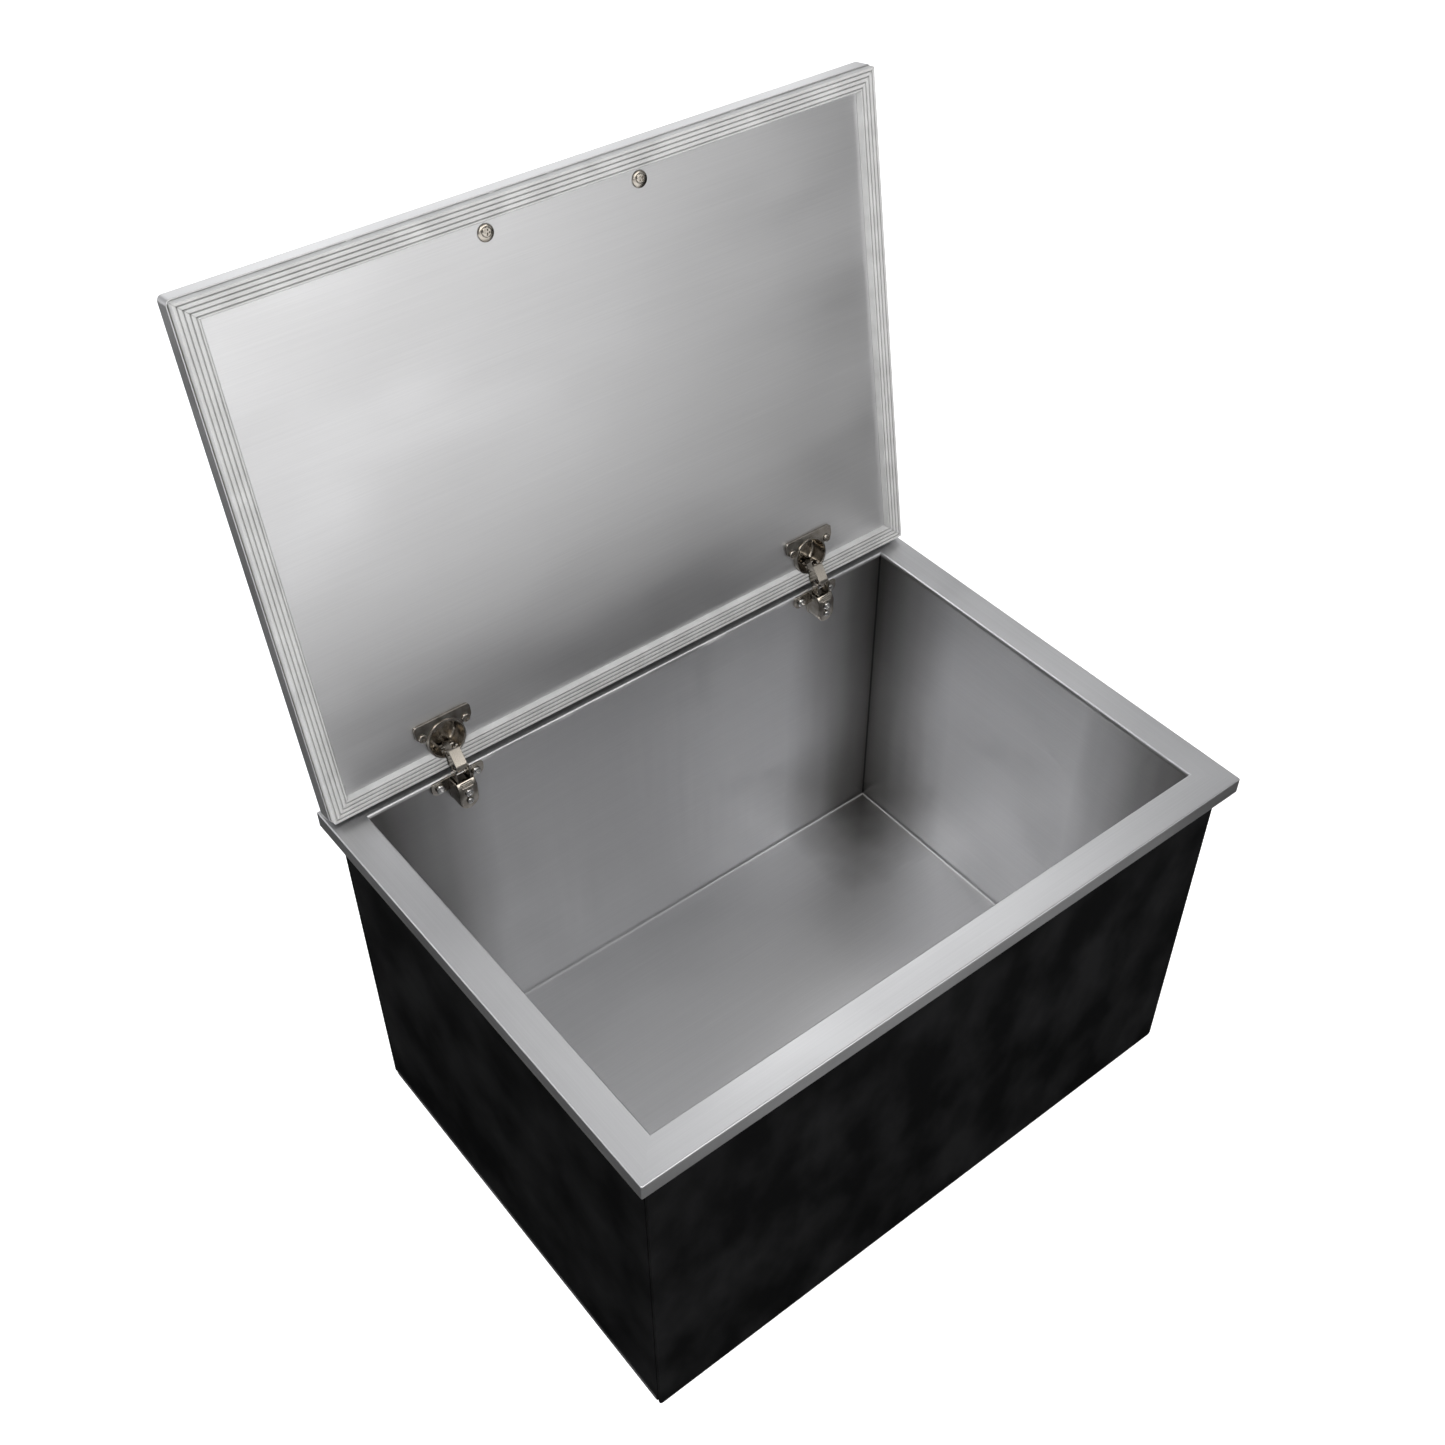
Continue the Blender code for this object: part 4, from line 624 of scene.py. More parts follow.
def turned_steel(name, colours):
    """Stainless rod and turned fittings: fine polishing rings that give a soft bright line."""
    made, tree, shader, spot = started(name, Metallic=1.0)
    rings = streaks(tree, spot, 0.9 * MM, 30 * MM, detail=2.0)
    shade = blended(tree, ranged(tree, rings, 0.0, 0.6), colours.fitting, colours.steel_light)
    coat(tree, shader, shade, ranged(tree, rings, 0.16, 0.24))
    bumped(tree, shader, rings, 0.01 * MM, 0.5)
    return made


def bright_screw(name, colours):
    """Cold headed stainless screw: bright, with light marks from the driver."""
    made, tree, shader, spot = started(name, Metallic=1.0)
    marks = streaks(tree, spot, 1.2 * MM, 1.2 * MM)
    shade = blended(tree, ranged(tree, marks, 0.0, 1.0), colours.fitting, colours.screw)
    coat(tree, shader, shade, ranged(tree, marks, 0.12, 0.26))
    bumped(tree, shader, marks, 0.03 * MM, 0.5)
    return made


def black_board(name, colours):
    """Matt black coated sheet: faint smoky patches and a fine grain that breaks up the gloss."""
    made, tree, shader, spot = started(name, Metallic=0.0, Specular_IOR_Level=0.06)
    smoke = streaks(tree, spot, 45 * MM, 70 * MM, detail=5.0)
    specks = streaks(tree, spot, 1.6 * MM, 1.6 * MM)
    patches = ranged(tree, smoke, 0.0, 1.0, 0.4, 0.68)
    shade = blended(tree, patches, colours.jacket_dark, colours.jacket_light)
    coat(tree, shader, shade, ranged(tree, smoke, 0.62, 0.5))
    soft = bumped(tree, shader, smoke, 0.6 * MM, 0.4)
    bumped(tree, shader, specks, 0.06 * MM, 0.5, soft)
    return made


def moulded_rubber(name, base, roughness=0.5, gloss=0.4):
    """Extruded soft plastic: an even matt skin with faint dusty streaks."""
    made, tree, shader, spot = started(name, Metallic=0.0, Specular_IOR_Level=gloss)
    dust = streaks(tree, spot, 20 * MM, 20 * MM, detail=4.0)
    skin = streaks(tree, spot, 0.8 * MM, 0.8 * MM, detail=2.0)
    shade = blended(tree, ranged(tree, dust, 0.0, 1.0), [0.82 * value for value in base], base)
    coat(tree, shader, shade, ranged(tree, dust, roughness - 0.06, roughness + 0.08))
    bumped(tree, shader, skin, 0.03 * MM, 0.4)
    return made


def poured_foam(name, colours):
    """Rigid polyurethane foam: pale, open and grainy."""
    made, tree, shader, spot = started(name, Metallic=0.0, Roughness=0.9)
    cells = add(tree, "ShaderNodeTexVoronoi", {"Vector": spot, "Scale": 1 / (1.5 * MM)}).outputs["Distance"]
    shade = blended(tree, cells, [0.7 * value for value in colours.foam], colours.foam)
    tree.links.new(shade, shader.inputs["Base Color"])
    bumped(tree, shader, cells, 0.3 * MM, 0.6)
    return made


FINISHES = {}


def finish(name):
    """The named finish, made when it is first asked for."""
    if name not in FINISHES:
        colours = bpy.context.scene.bin_colours
        makers = {
            "sheet_with_painted_corner_shade": lambda: sheet_with_painted_corner_shade("stainless_sheet_belt_ground_corner_shade_painted", colours),
            "sheet_along_x": lambda: brushed_sheet("stainless_sheet_belt_ground", colours),
            "hinge": lambda: tumbled_steel("stainless_pressing_tumbled", colours),
            "strap": lambda: brushed_sheet(
                "stainless_strap_ground", colours, ALONG_Y, colours.hinge, colours.hinge_dark,
                rough=(0.30, 0.38), grain=0.004 * MM,
            ),
            "fitting": lambda: turned_steel("stainless_rod_turned", colours),
            "screw": lambda: bright_screw("stainless_screw_cold_headed", colours),
            "jacket": lambda: black_board("black_coated_sheet_matt", colours),
            "gasket": lambda: moulded_rubber("gasket_extruded_grey", tuple(colours.gasket)),
            "seal": lambda: moulded_rubber("rubber_seal_moulded_black", tuple(colours.seal), 0.6, 0.5),
            "foam": lambda: poured_foam("polyurethane_foam_poured", colours),
        }
        FINISHES[name] = makers[name]()
    return FINISHES[name]


# Basin and jacket
def step_in(shape, face, inset, level):
    """Draw a level face in from its edges, then push what is left of it to another level."""
    bmesh.ops.inset_region(shape, faces=[face], thickness=inset, use_even_offset=True)
    made = bmesh.ops.extrude_face_region(shape, geom=[face])["geom"]
    if face.is_valid:
        bmesh.ops.delete(shape, geom=[face], context="FACES_ONLY")
    verts = only(bmesh.types.BMVert, made)
    bmesh.ops.translate(shape, vec=(0, 0, level - verts[0].co.z), verts=verts)
    return only(bmesh.types.BMFace, made)[0]


def face_area(face):
    return face.calc_area()


def level_faces(shape, up):
    """Faces that look straight up, or down with up at -1."""
    shape.normal_update()
    return [face for face in shape.faces if face.normal.z * up > SQUARE]


def basin_shape(sheet):
    """Flange, lip and basin with the sheet's thickness, and the drain's hole through the floor."""
    top, thick = BIN_HIGH.z, sheet.sheet
    shape = block((BIN_LOW.x, BIN_LOW.y, top - sheet.lip), BIN_HIGH)
    underside = step_in(shape, level_faces(shape, -1)[0], thick, top - thick)
    step_in(shape, underside, sheet.strip - 2 * thick, BIN_LOW.z)
    step_in(shape, level_faces(shape, 1)[0], sheet.strip, BIN_LOW.z + thick)
    inside = BIN_HIGH.x - sheet.strip, BIN_HIGH.y - sheet.strip

    def on_lip(middle, along):
        at_edge = max(abs(middle.x) - BIN_HIGH.x, abs(middle.y) - BIN_HIGH.y) > -TINY
        return at_edge and (upright(middle, along) or middle.z > top - TINY)

    def on_rim(middle, along):
        at_edge = abs(middle.x) < inside[0] + TINY and abs(middle.y) < inside[1] + TINY
        return at_edge and middle.z > top - TINY

    def on_floor(middle, along):
        return abs(middle.z - BIN_LOW.z - thick) < TINY

    round_off(shape, sheet.lip_corner, on_lip, 5)
    round_off(shape, sheet.inner_bend, on_rim, 4)
    round_off(shape, sheet.floor_bend, on_floor, 4)
    drain = sum(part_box("drain_body"), Vector()) / 2
    rings = []
    for level, up in ((BIN_LOW.z + thick, 1), (BIN_LOW.z, -1)):
        faces = [face for face in level_faces(shape, up) if abs(face.calc_center_median().z - level) < TINY]
        floor = max(faces, key=face_area)
        loop = ring(shape, drain.x, drain.y, level, sheet.drain_hole, steps=ROUND_STEPS)
        pierce(shape, floor, loop)
        rings += loop
    bmesh.ops.bridge_loops(shape, edges=rings)
    bmesh.ops.recalc_face_normals(shape, faces=shape.faces)
    return shape


class BIN_OT_basin(bpy.types.Operator):
    """Make the basin and flange"""

    bl_idname = "bin.basin"
    bl_label = "Basin and flange"

    def execute(self, context):
        shape = basin_shape(context.scene.bin_sheet)
        piece("basin_sheet", shape, finish("sheet_with_painted_corner_shade"), "bin", ["basin_and_flange"])
        return {"FINISHED"}


class BIN_OT_jacket(bpy.types.Operator):
    """Make the black panels and dress the boards behind them"""

    bl_idname = "bin.jacket"
    bl_label = "Jacket and insulation"

    def execute(self, context):
        sheet = context.scene.bin_sheet
        for side in ("front", "back", "left", "right", "base"):
            low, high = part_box("jacket_" + side)
            thin = 1 if side in ("front", "back") else 0
            if side in ("left", "right"):
                low.y += sheet.jacket_seam
                high.y -= sheet.jacket_seam
            face = max(abs(low[thin]), abs(high[thin])) - TINY
            shape = block(low, high)

            def foot(middle, along):
                """Lower corner of a panel, seen square on."""
                return abs(along[thin]) > SQUARE and middle.z < TINY

            if side != "base":
                round_off(shape, sheet.jacket_foot, foot, 4)
                round_off(shape, sheet.jacket_round / 2, lambda middle, along: abs(middle[thin]) > face, 2)
                dress("insulation_" + side, finish("foam"))
            piece("jacket_panel_" + side, shape, finish("jacket"), "bin", ["jacket_" + side])
        dress("insulation_floor", finish("foam"))
        return {"FINISHED"}


# Screws
def recess_corners(kind, reach, half):
    """Corners of a slot or of a cross, round the middle."""
    if kind == "slot":
        return [(-reach, -half), (reach, -half), (reach, half), (-reach, half)]
    corners = []
    for turn in (0, pi / 2, pi, 3 * pi / 2):
        for across, up in ((half, half), (half, reach), (-half, reach)):
            corners.append((across * cos(turn) - up * sin(turn), across * sin(turn) + up * cos(turn)))
    return corners


def screw_shape(radius, length, head_radius, head, kind="cross", turn=0.0):
    """Screw along Z, its head's underside at zero, with a domed head and a driver's recess."""
    flat, rim_height = 0.72 * head_radius, 0.35 * head
    profile = [(flat + (head_radius - flat) * s, rim_height + (head - rim_height) * c) for s, c in quarter(4)]
    point = radius / 2
    profile += [(head_radius, 0), (radius, 0)]
    profile += [(radius, point - length), (radius - point, -length), (0, -length)]
    shape = spun(profile, SMALL_STEPS)
    rim = [edge for edge in shape.edges if edge.is_boundary]
    half = 0.13 * head_radius if kind == "slot" else 0.16 * head_radius
    verts = [
        shape.verts.new((x * cos(turn) - y * sin(turn), x * sin(turn) + y * cos(turn), head))
        for x, y in recess_corners(kind, 0.60 * head_radius, half)
    ]
    loop = [shape.edges.new(pair) for pair in zip(verts, verts[1:] + verts[:1])]
    filled(shape, rim + loop)
    made = bmesh.ops.extrude_edge_only(shape, edges=loop)["geom"]
    bmesh.ops.translate(shape, vec=(0, 0, -0.75 * head), verts=only(bmesh.types.BMVert, made))
    bottom = [edge for edge in only(bmesh.types.BMEdge, made) if edge.is_boundary]
    bmesh.ops.contextual_create(shape, geom=bottom)
    bmesh.ops.recalc_face_normals(shape, faces=shape.faces)
    return shape


class BIN_OT_screws(bpy.types.Operator):
    """Make the screws of both hinges and of the handle, each with its recess"""

    bl_idname = "bin.screws"
    bl_label = "Screws and washers"

    # Each kind has its shank and head radii, its head's height, its recess and how far the recess is turned
    wall_kinds = {
        "hinge_mounting_screw": (0.0020, 0.0040, 0.0018, "slot", radians(35)),
        "hinge_slot_screw": (0.0019, 0.0034, 0.0014, "cross", radians(20)),
        "hinge_adjusting_screw": (0.0019, 0.0028, 0.0014, "slot", radians(60)),
    }
    lid_kinds = {
        "cup_screw": (0.0018, 0.0036, 0.0010, "cross", radians(30)),
        "handle_screw": (0.0020, 0.0038, 0.0011, "cross", radians(12)),
    }
    washer = ((0.0023, 0.0013), (0.0050, 0.0013), (0.0060, 0.0010), (0.0065, 0.0), (0.0023, 0.0))
    washer_sunk = 0.0003
    # Radians that a recess is turned further for each metre along X, so that no two screws stand alike
    wall_turn, lid_turn = 9, 7

    def execute(self, context):
        home = LID.inverted()
        for node in sorted(frame["nodes"]):
            low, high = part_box(node)
            middle = (low + high) / 2
            kind = next((kind for kind in (*self.wall_kinds, *self.lid_kinds) if node.startswith(kind)), None)
            if kind in self.wall_kinds:
                radius, head_radius, head, recess, turn = self.wall_kinds[kind]
                turn += middle.x * self.wall_turn
                shape = screw_shape(radius, high.y - low.y - head, head_radius, head, recess, turn)
                placed(shape, at(middle.x, low.y + head, middle.z), FACING)
                piece(node + "_screw", shape, finish("screw"), "bin", [node])
            elif kind:
                radius, head_radius, head, recess, turn = self.lid_kinds[kind]
                heights = [(home @ vert.co).z for vert in frame["nodes"][node].data.vertices]
                top, bottom = max(heights), min(heights)
                turn += middle.x * self.lid_turn
                shape = screw_shape(radius, top - bottom - head, head_radius, head, recess, turn)
                placed(shape, LID, at(middle.x, (home @ middle).y, top - head))
                piece(node + "_screw", shape, finish("hinge"), "lid", [node])
            elif node.startswith("handle_cup_washer"):
                level = self.washer_sunk - context.scene.bin_lid.panel_depth
                shape = spun(self.washer + self.washer[:1])
                placed(shape, LID, at(middle.x, (home @ middle).y, level))
                piece(node + "_ring", shape, finish("hinge"), "lid", [node], edge=0.00025)
        return {"FINISHED"}


# Drain
class BIN_OT_drain(bpy.types.Operator):
    """Make the drain's body and its lift out strainer"""

    bl_idname = "bin.drain"
    bl_label = "Drain"

    def body_shape(self, drain, low, high):
        """Flange with a sloping edge, a seat for the strainer and the tail below it."""
        wide, drop, edge_drop = (high.x - low.x) / 2, 0.0012, 0.0026
        seat, under = high.z - drain.seat_depth, high.z - drain.flange
        return spun((
            (drain.seat, high.z),
            (wide - drain.slope, high.z),
            (wide - drain.edge, high.z - drop),
            (wide, high.z - edge_drop),
            (wide, under),
            (drain.tail, under),
            (drain.tail, low.z),
            (drain.bore, low.z),
            (drain.bore, seat),
            (drain.seat, seat),
            (drain.seat, high.z),
        ))

    def strainer_shape(self, drain, radius, top):
        """Disc with two rings of holes, and the knob that it is lifted by."""
        shape = bmesh.new()
        loops = ring(shape, 0, 0, 0, radius, steps=ROUND_STEPS)
        for around, shift in ((drain.hole_ring + drain.ring_gap, 0.5), (drain.hole_ring, 0)):
            for index in range(drain.holes):
                angle = 2 * pi * (index + shift) / drain.holes
                loops += ring(shape, around * cos(angle), around * sin(angle), 0, drain.hole, steps=16)
        filled(shape, loops)
        raised(shape, drain.disc)
        bmesh.ops.recalc_face_normals(shape, faces=shape.faces)
        # Levels of the knob's upper edge, its lower edge and its neck, and the flare at the neck's foot
        upper, lower, waist, flare = top - 0.0010, top - 0.0022, top - 0.0032, 0.0010
        knob, neck, root = drain.knob, drain.neck, drain.disc - 0.0002
        head = ((0, top), (0.6 * knob, top), (knob, upper), (knob, lower), (neck, waist))
        foot = ((neck, drain.disc + flare), (neck + flare, root), (0, root))
        return gathered(shape, spun(head + foot, SMALL_STEPS))

    def execute(self, context):
        drain = context.scene.bin_drain
        low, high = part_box("drain_body")
        shape = placed(self.body_shape(drain, low, high), at((low.x + high.x) / 2, (low.y + high.y) / 2))
        piece("drain_flange", shape, finish("fitting"), "bin", ["drain_body"], edge=0.0004)

        low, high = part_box("drain_strainer")
        shape = self.strainer_shape(drain, (high.x - low.x) / 2, high.z - low.z)
        placed(shape, at((low.x + high.x) / 2, (low.y + high.y) / 2, low.z))
        piece(
            "drain_strainer_disc", shape, finish("fitting"), "drain_strainer_body",
            ["drain_strainer"], edge=0.00018,
        )
        dress("drain_gasket", finish("seal"))
        dress("drain_locknut", finish("fitting"))
        return {"FINISHED"}


# Lid
def lid_corners(lid, edge):
    """Corners of the gasket's outline, drawn in by an edge."""
    half = lid.length / 2 - edge
    return (-half, edge), (half, lid.depth - edge)


class BIN_OT_lid_sheets(bpy.types.Operator):
    """Make the lid's outer pan and inner panel"""

    bl_idname = "bin.lid_sheets"
    bl_label = "Lid sheets"

    def execute(self, context):
        lid, hinge = context.scene.bin_lid, context.scene.bin_hinge
        (left, near), (right, far) = lid_corners(lid, -lid.overhang)
        shape = block((left, near, -lid.thickness), (right, far - lid.far_draw, -lid.pan_rim))
        round_off(shape, lid.pan_corner, upright, 8)
        round_off(shape, lid.pan_bend, lambda middle, along: middle.z < TINY - lid.thickness, 4)
        round_off(shape, lid.pan_edge, lambda middle, along: middle.z > -lid.pan_rim - TINY, 2)
        shape.normal_update()
        rim = max(shape.faces, key=lambda face: face.normal.z * face.calc_area())
        bmesh.ops.inset_region(shape, faces=[rim], thickness=lid.pan_hem, use_even_offset=True)
        bmesh.ops.delete(shape, geom=[rim], context="FACES_ONLY")
        placed(shape, LID)
        pan = piece(
            "lid_pan_sheet", shape, finish("sheet_along_x"), "lid", ["lid_pan"],
            sheet=lid.pan_sheet,
        )
        pan.modifiers["sheet"].use_even_offset = False

        gap, cup_gap = 0.0003, 0.0002
        (left, near), (right, far) = lid_corners(lid, lid.gasket_seat + gap)
        hole = hinge.cup + hinge.cup_wall + cup_gap
        holes = [(middle, hinge.cup_along, hole) for middle in HINGE_MIDDLES.values()]
        face = -lid.panel_depth
        shape = plate(rectangle(left, near, right, far), face - lid.panel_sheet, face, holes)
        placed(shape, LID)
        piece("lid_inner_sheet", shape, finish("sheet_along_x"), "lid", ["lid_inner_panel"])
        dress("lid_insulation", finish("foam"))
        return {"FINISHED"}


def gasket_corners(lid, reveal):
    """Section of a gasket strip, from its outer edge inwards and from its face down."""
    # Radii of the outer edge, of the ribs, of the grooves' floors and of the inner edge
    edge, crest, root, inner = 0.0005, 0.0006, 0.0003, 0.0008
    # How far the inner flank slopes in, how far the base clears the inner panel, and the reveal's width
    flank, clear, ledge = 0.0012, 0.0002, 0.0022
    corners = [(0, 0, edge)]
    for index in range(4):
        start = lid.land + index * lid.rib_pitch - lid.groove / 2
        end, floor = start + lid.groove, -lid.groove_depth
        corners += [(start, 0, crest), (start, floor, root), (end, floor, root), (end, 0, crest)]
    seat, foot = clear - lid.panel_depth, -lid.gasket_height
    return corners + [
        (lid.gasket - inner, 0, inner),
        (lid.gasket + flank, seat, 0),
        (lid.gasket_seat, seat, 0),
        (lid.gasket_seat, foot, 0),
        (ledge, foot, 0),
        (ledge, foot + reveal, root),
        (0, foot + reveal, crest),
    ]


def gasket_shape(lid, half_length, reveal):
    """Strip along X with mitred ends, its outer edge at Y zero, clear of its neighbours at the mitre."""
    mitre_gap = 0.00015
    shape = placed(plate(gasket_corners(lid, reveal), -half_length, half_length, segments=3), SIDEWAYS)
    for vert in shape.verts:
        draw_in = vert.co.y + mitre_gap
        vert.co.x += -draw_in if vert.co.x > 0 else draw_in
    return shape


class BIN_OT_gasket(bpy.types.Operator):
    """Make the four mitred strips of the ribbed gasket"""

    bl_idname = "bin.gasket"
    bl_label = "Gasket"

    # Places along X where the front strip touches the pan's rim, with half their length and their height
    clip_places = (-0.1608, -0.0528, -0.0063, 0.1523)
    clip_half, clip_low, clip_high = 0.0022, 0.0004, 0.0006
    clip_out, clip_in = 0.0007, 0.0006
    side_reveal = 0.0005

    def notches(self, lid, hinge):
        """Room in the rear strip for the cups and for the straps that reach over them."""
        cup_room, slit_start, slit_depth = 0.0168, 0.0010, 0.0042
        wide = hinge.strap_half + 0.0003
        for middle in HINGE_MIDDLES.values():
            corners = rectangle(-cup_room, -cup_room, cup_room, cup_room, cup_room, cup_room)
            cup = plate(corners, -2 * lid.gasket_height, OVERRUN, segments=12)
            yield placed(cup, at(middle, hinge.cup_along))
            low = (middle - wide, slit_start, -slit_depth)
            yield block(low, (middle + wide, lid.gasket + OVERRUN, OVERRUN))

    def clips(self, lid):
        """Small blocks in the gap below the front strip."""
        for across in self.clip_places:
            low = (-across - self.clip_half, -self.clip_out, -lid.pan_rim - self.clip_low)
            yield block(low, (-across + self.clip_half, self.clip_in, -lid.pan_rim + self.clip_high))

    def execute(self, context):
        lid, hinge = context.scene.bin_lid, context.scene.bin_hinge
        half, depth_half = lid.length / 2, lid.depth / 2
        places = {
            "rear": (half, Matrix.Identity(4)),
            "front": (half, at(0, lid.depth) @ Matrix.Rotation(pi, 4, "Z")),
            "left": (depth_half, at(-half, depth_half) @ Matrix.Rotation(-pi / 2, 4, "Z")),
            "right": (depth_half, at(half, depth_half) @ Matrix.Rotation(pi / 2, 4, "Z")),
        }
        for side, (half_length, place) in places.items():
            shape = gasket_shape(lid, half_length, lid.reveal if side == "front" else self.side_reveal)
            if side == "rear":
                shape = carved(shape, *self.notches(lid, hinge))
            if side == "front":
                shape = gathered(shape, *self.clips(lid))
            placed(shape, LID, place)
            piece("gasket_strip_" + side, shape, finish("gasket"), "lid", ["gasket_" + side])
        return {"FINISHED"}


class BIN_OT_handle(bpy.types.Operator):
    """Make the bent rod handle on the lid's outer face"""

    bl_idname = "bin.handle"
    bl_label = "Handle"

    foot_gap = 0.0003

    def execute(self, context):
        lid = context.scene.bin_lid
        half, bend = lid.handle_spacing / 2, lid.handle_bend
        out = lid.handle_reach - lid.handle_rod
        foot = -lid.thickness - self.foot_gap
        shape = bmesh.new()
        made = bmesh.ops.create_circle(shape, cap_ends=True, radius=lid.handle_rod, segments=SMALL_STEPS)
        bmesh.ops.translate(shape, vec=(half, 0, foot), verts=made["verts"])
        loop = edges_of(made["verts"])

        def straight(loop, vec):
            grown = bmesh.ops.extrude_edge_only(shape, edges=loop)["geom"]
            verts = only(bmesh.types.BMVert, grown)
            bmesh.ops.translate(shape, vec=vec, verts=verts)
            return [edge for edge in only(bmesh.types.BMEdge, grown) if set(edge.verts) <= set(verts)]

        def turned(loop, centre):
            verts = list(dict.fromkeys(vert for edge in loop for vert in edge.verts))
            return only(bmesh.types.BMEdge, swept(shape, verts + loop, centre, (0, 1, 0), pi / 2, 10))

        loop = straight(loop, (0, 0, -(out - bend)))
        loop = turned(loop, (half - bend, 0, foot - out + bend))
        loop = straight(loop, (-2 * (half - bend), 0, 0))
        loop = turned(loop, (bend - half, 0, foot - out + bend))
        loop = straight(loop, (0, 0, out - bend))
        bmesh.ops.contextual_create(shape, geom=loop)
        bmesh.ops.remove_doubles(shape, verts=shape.verts, dist=TINY)
        bmesh.ops.recalc_face_normals(shape, faces=shape.faces)
        placed(shape, LID, at(0, lid.handle_along))
        piece("lid_handle_rod", shape, finish("fitting"), "lid", ["lid_handle"], edge=0.0005)
        return {"FINISHED"}


# Hinges: the fixed half is drawn from the wall's face and the flange's top, with Z off the wall
ARM_TOP = -0.0005


def pin_shape(radius, half_length):
    """Riveted pin along X, its ends rounded over."""
    end = radius / 3
    profile = (
        (0, -half_length),
        (radius - end, -half_length),
        (radius, end - half_length),
        (radius, half_length - end),
        (radius - end, half_length),
        (0, half_length),
    )
    return placed(spun(profile, SMALL_STEPS), Matrix.Rotation(pi / 2, 4, "Y"))


def arm_shape(hinge):
    """Pressed arm: a tray with a rounded end, a step near its top and two holes for its screws."""
    half, top, low, back = hinge.arm_half, ARM_TOP, -hinge.arm_length, 0.0021
    shape = plate(rectangle(-half, top, half, low, 0, half), back, hinge.arm_off, segments=10)
    cut(shape, (0, -hinge.arm_step, 0), (0, 1, 0))
    for vert in shape.verts:
        if vert.co.y > top - TINY and vert.co.z > hinge.arm_top_off:
            vert.co.z = hinge.arm_top_off
    shape.normal_update()
    gone = []
    for face in shape.faces:
        spots = [vert.co for vert in face.verts]
        if max(spot.z for spot in spots) < back + TINY or min(spot.y for spot in spots) > top - TINY:
            gone.append(face)
    bmesh.ops.delete(shape, geom=gone, context="FACES")
    outer = [face for face in shape.faces if min(vert.co.z for vert in face.verts) > hinge.arm_off - TINY]
    slot = ring(shape, 0, -hinge.slot_down, hinge.arm_off, hinge.slot, hinge.slot_reach, SLOT_STEPS)
    hole = ring(shape, 0, -hinge.hole_down, hinge.arm_off, hinge.hole)
    pierce(shape, max(outer, key=face_area), slot, hole)

    def shoulder(middle, along):
        """Edge on the outside of the face, but not at its open top or round its holes."""
        at_side = abs(middle.x) > half - 0.1 * MM and middle.y < -MM
        at_end = middle.y < low + half and Vector((middle.x, middle.y - low - half)).length > half - 0.6 * MM
        return middle.z > hinge.arm_top_off - TINY and (at_side or at_end)

    round_off(shape, hinge.arm_bend, shoulder, 4)
    return shape


def wings_shape(hinge):
    """Mounting plate with its wings and its tongue, and the bridge that carries the arm."""
    half, core, top, tongue_end = hinge.wing_half, hinge.arm_half, -0.0010, -0.0280
    low, near = top - hinge.wing_height, 0.0003
    far = near + hinge.wing_sheet
    bridge_half, bridge_low, bridge_high, bridge_off, sunk = 0.0046, -0.0225, -0.0030, 0.0120, 0.0002
    return gathered(
        plate(rectangle(-half, top, half, low, 0.0030, 0.0060), near, far),
        plate(rectangle(-core, low + core, core, tongue_end, 0, core), near, far - TINY),
        block((-bridge_half, bridge_low, far - sunk), (bridge_half, bridge_high, bridge_off)),
    )


def bead_shape(half_length, radius):
    """Embossed bead along X with rounded ends."""
    turns = quarter(6)
    profile = [(radius * s, -half_length - radius * c) for s, c in turns]
    profile += [(radius * c, half_length + radius * s) for s, c in turns]
    return placed(spun(profile, SMALL_STEPS), Matrix.Rotation(pi / 2, 4, "Y"))


def nose_shape(hinge):
    """Cheeks of the arm's nose, which hold both pins, and the two beads across its slope."""
    fork = Vector((-0.0090, 0.0100))
    pin = Vector((ARM_PIN.y - WALL_Y, ARM_PIN.z - BIN_HIGH.z))
    around, near_fillet, pin_fillet = 0.0022, 0.0010, 0.0015
    front = -hinge.arm_top_off + hinge.arm_sheet / 2
    rise = fork.y + around
    corners = (
        (hinge.arm_sheet / 2 - hinge.arm_off, -hinge.arm_step, 0),
        (front, ARM_TOP, 0),
        (front, pin.y, near_fillet),
        (fork.x - around, rise - 0.6 * around, near_fillet),
        (fork.x - around, rise, around),
        (fork.x + around, rise, around),
        (pin.x + around, pin.y + around, pin_fillet),
        (pin.x + around, -hinge.arm_step, 0),
    )
    bead_half, bead_radius, bead_sunk = 0.0044, 0.0010, 0.0002
    lean = hinge.arm_off - hinge.arm_top_off
    beads = []
    for share in (0.30, 0.78):
        drop = share * (hinge.arm_step + ARM_TOP) - ARM_TOP
        off = hinge.arm_top_off + share * lean - bead_sunk * sin(atan2(lean, hinge.arm_step))
        beads.append(placed(bead_shape(bead_half, bead_radius), at(0, -off, -drop)))
    return gathered(*both_sides(corners, hinge.cheek_inside, hinge.cheek_inside + hinge.cheek), *beads)


def rivet(hinge, node, body):
    """Riveted pin in the place of a node."""
    low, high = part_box(node)
    shape = placed(pin_shape(hinge.pin, (high.x - low.x) / 2), at(*((low + high) / 2)))
    piece(node + "_rivet", shape, finish("screw"), body, [node])


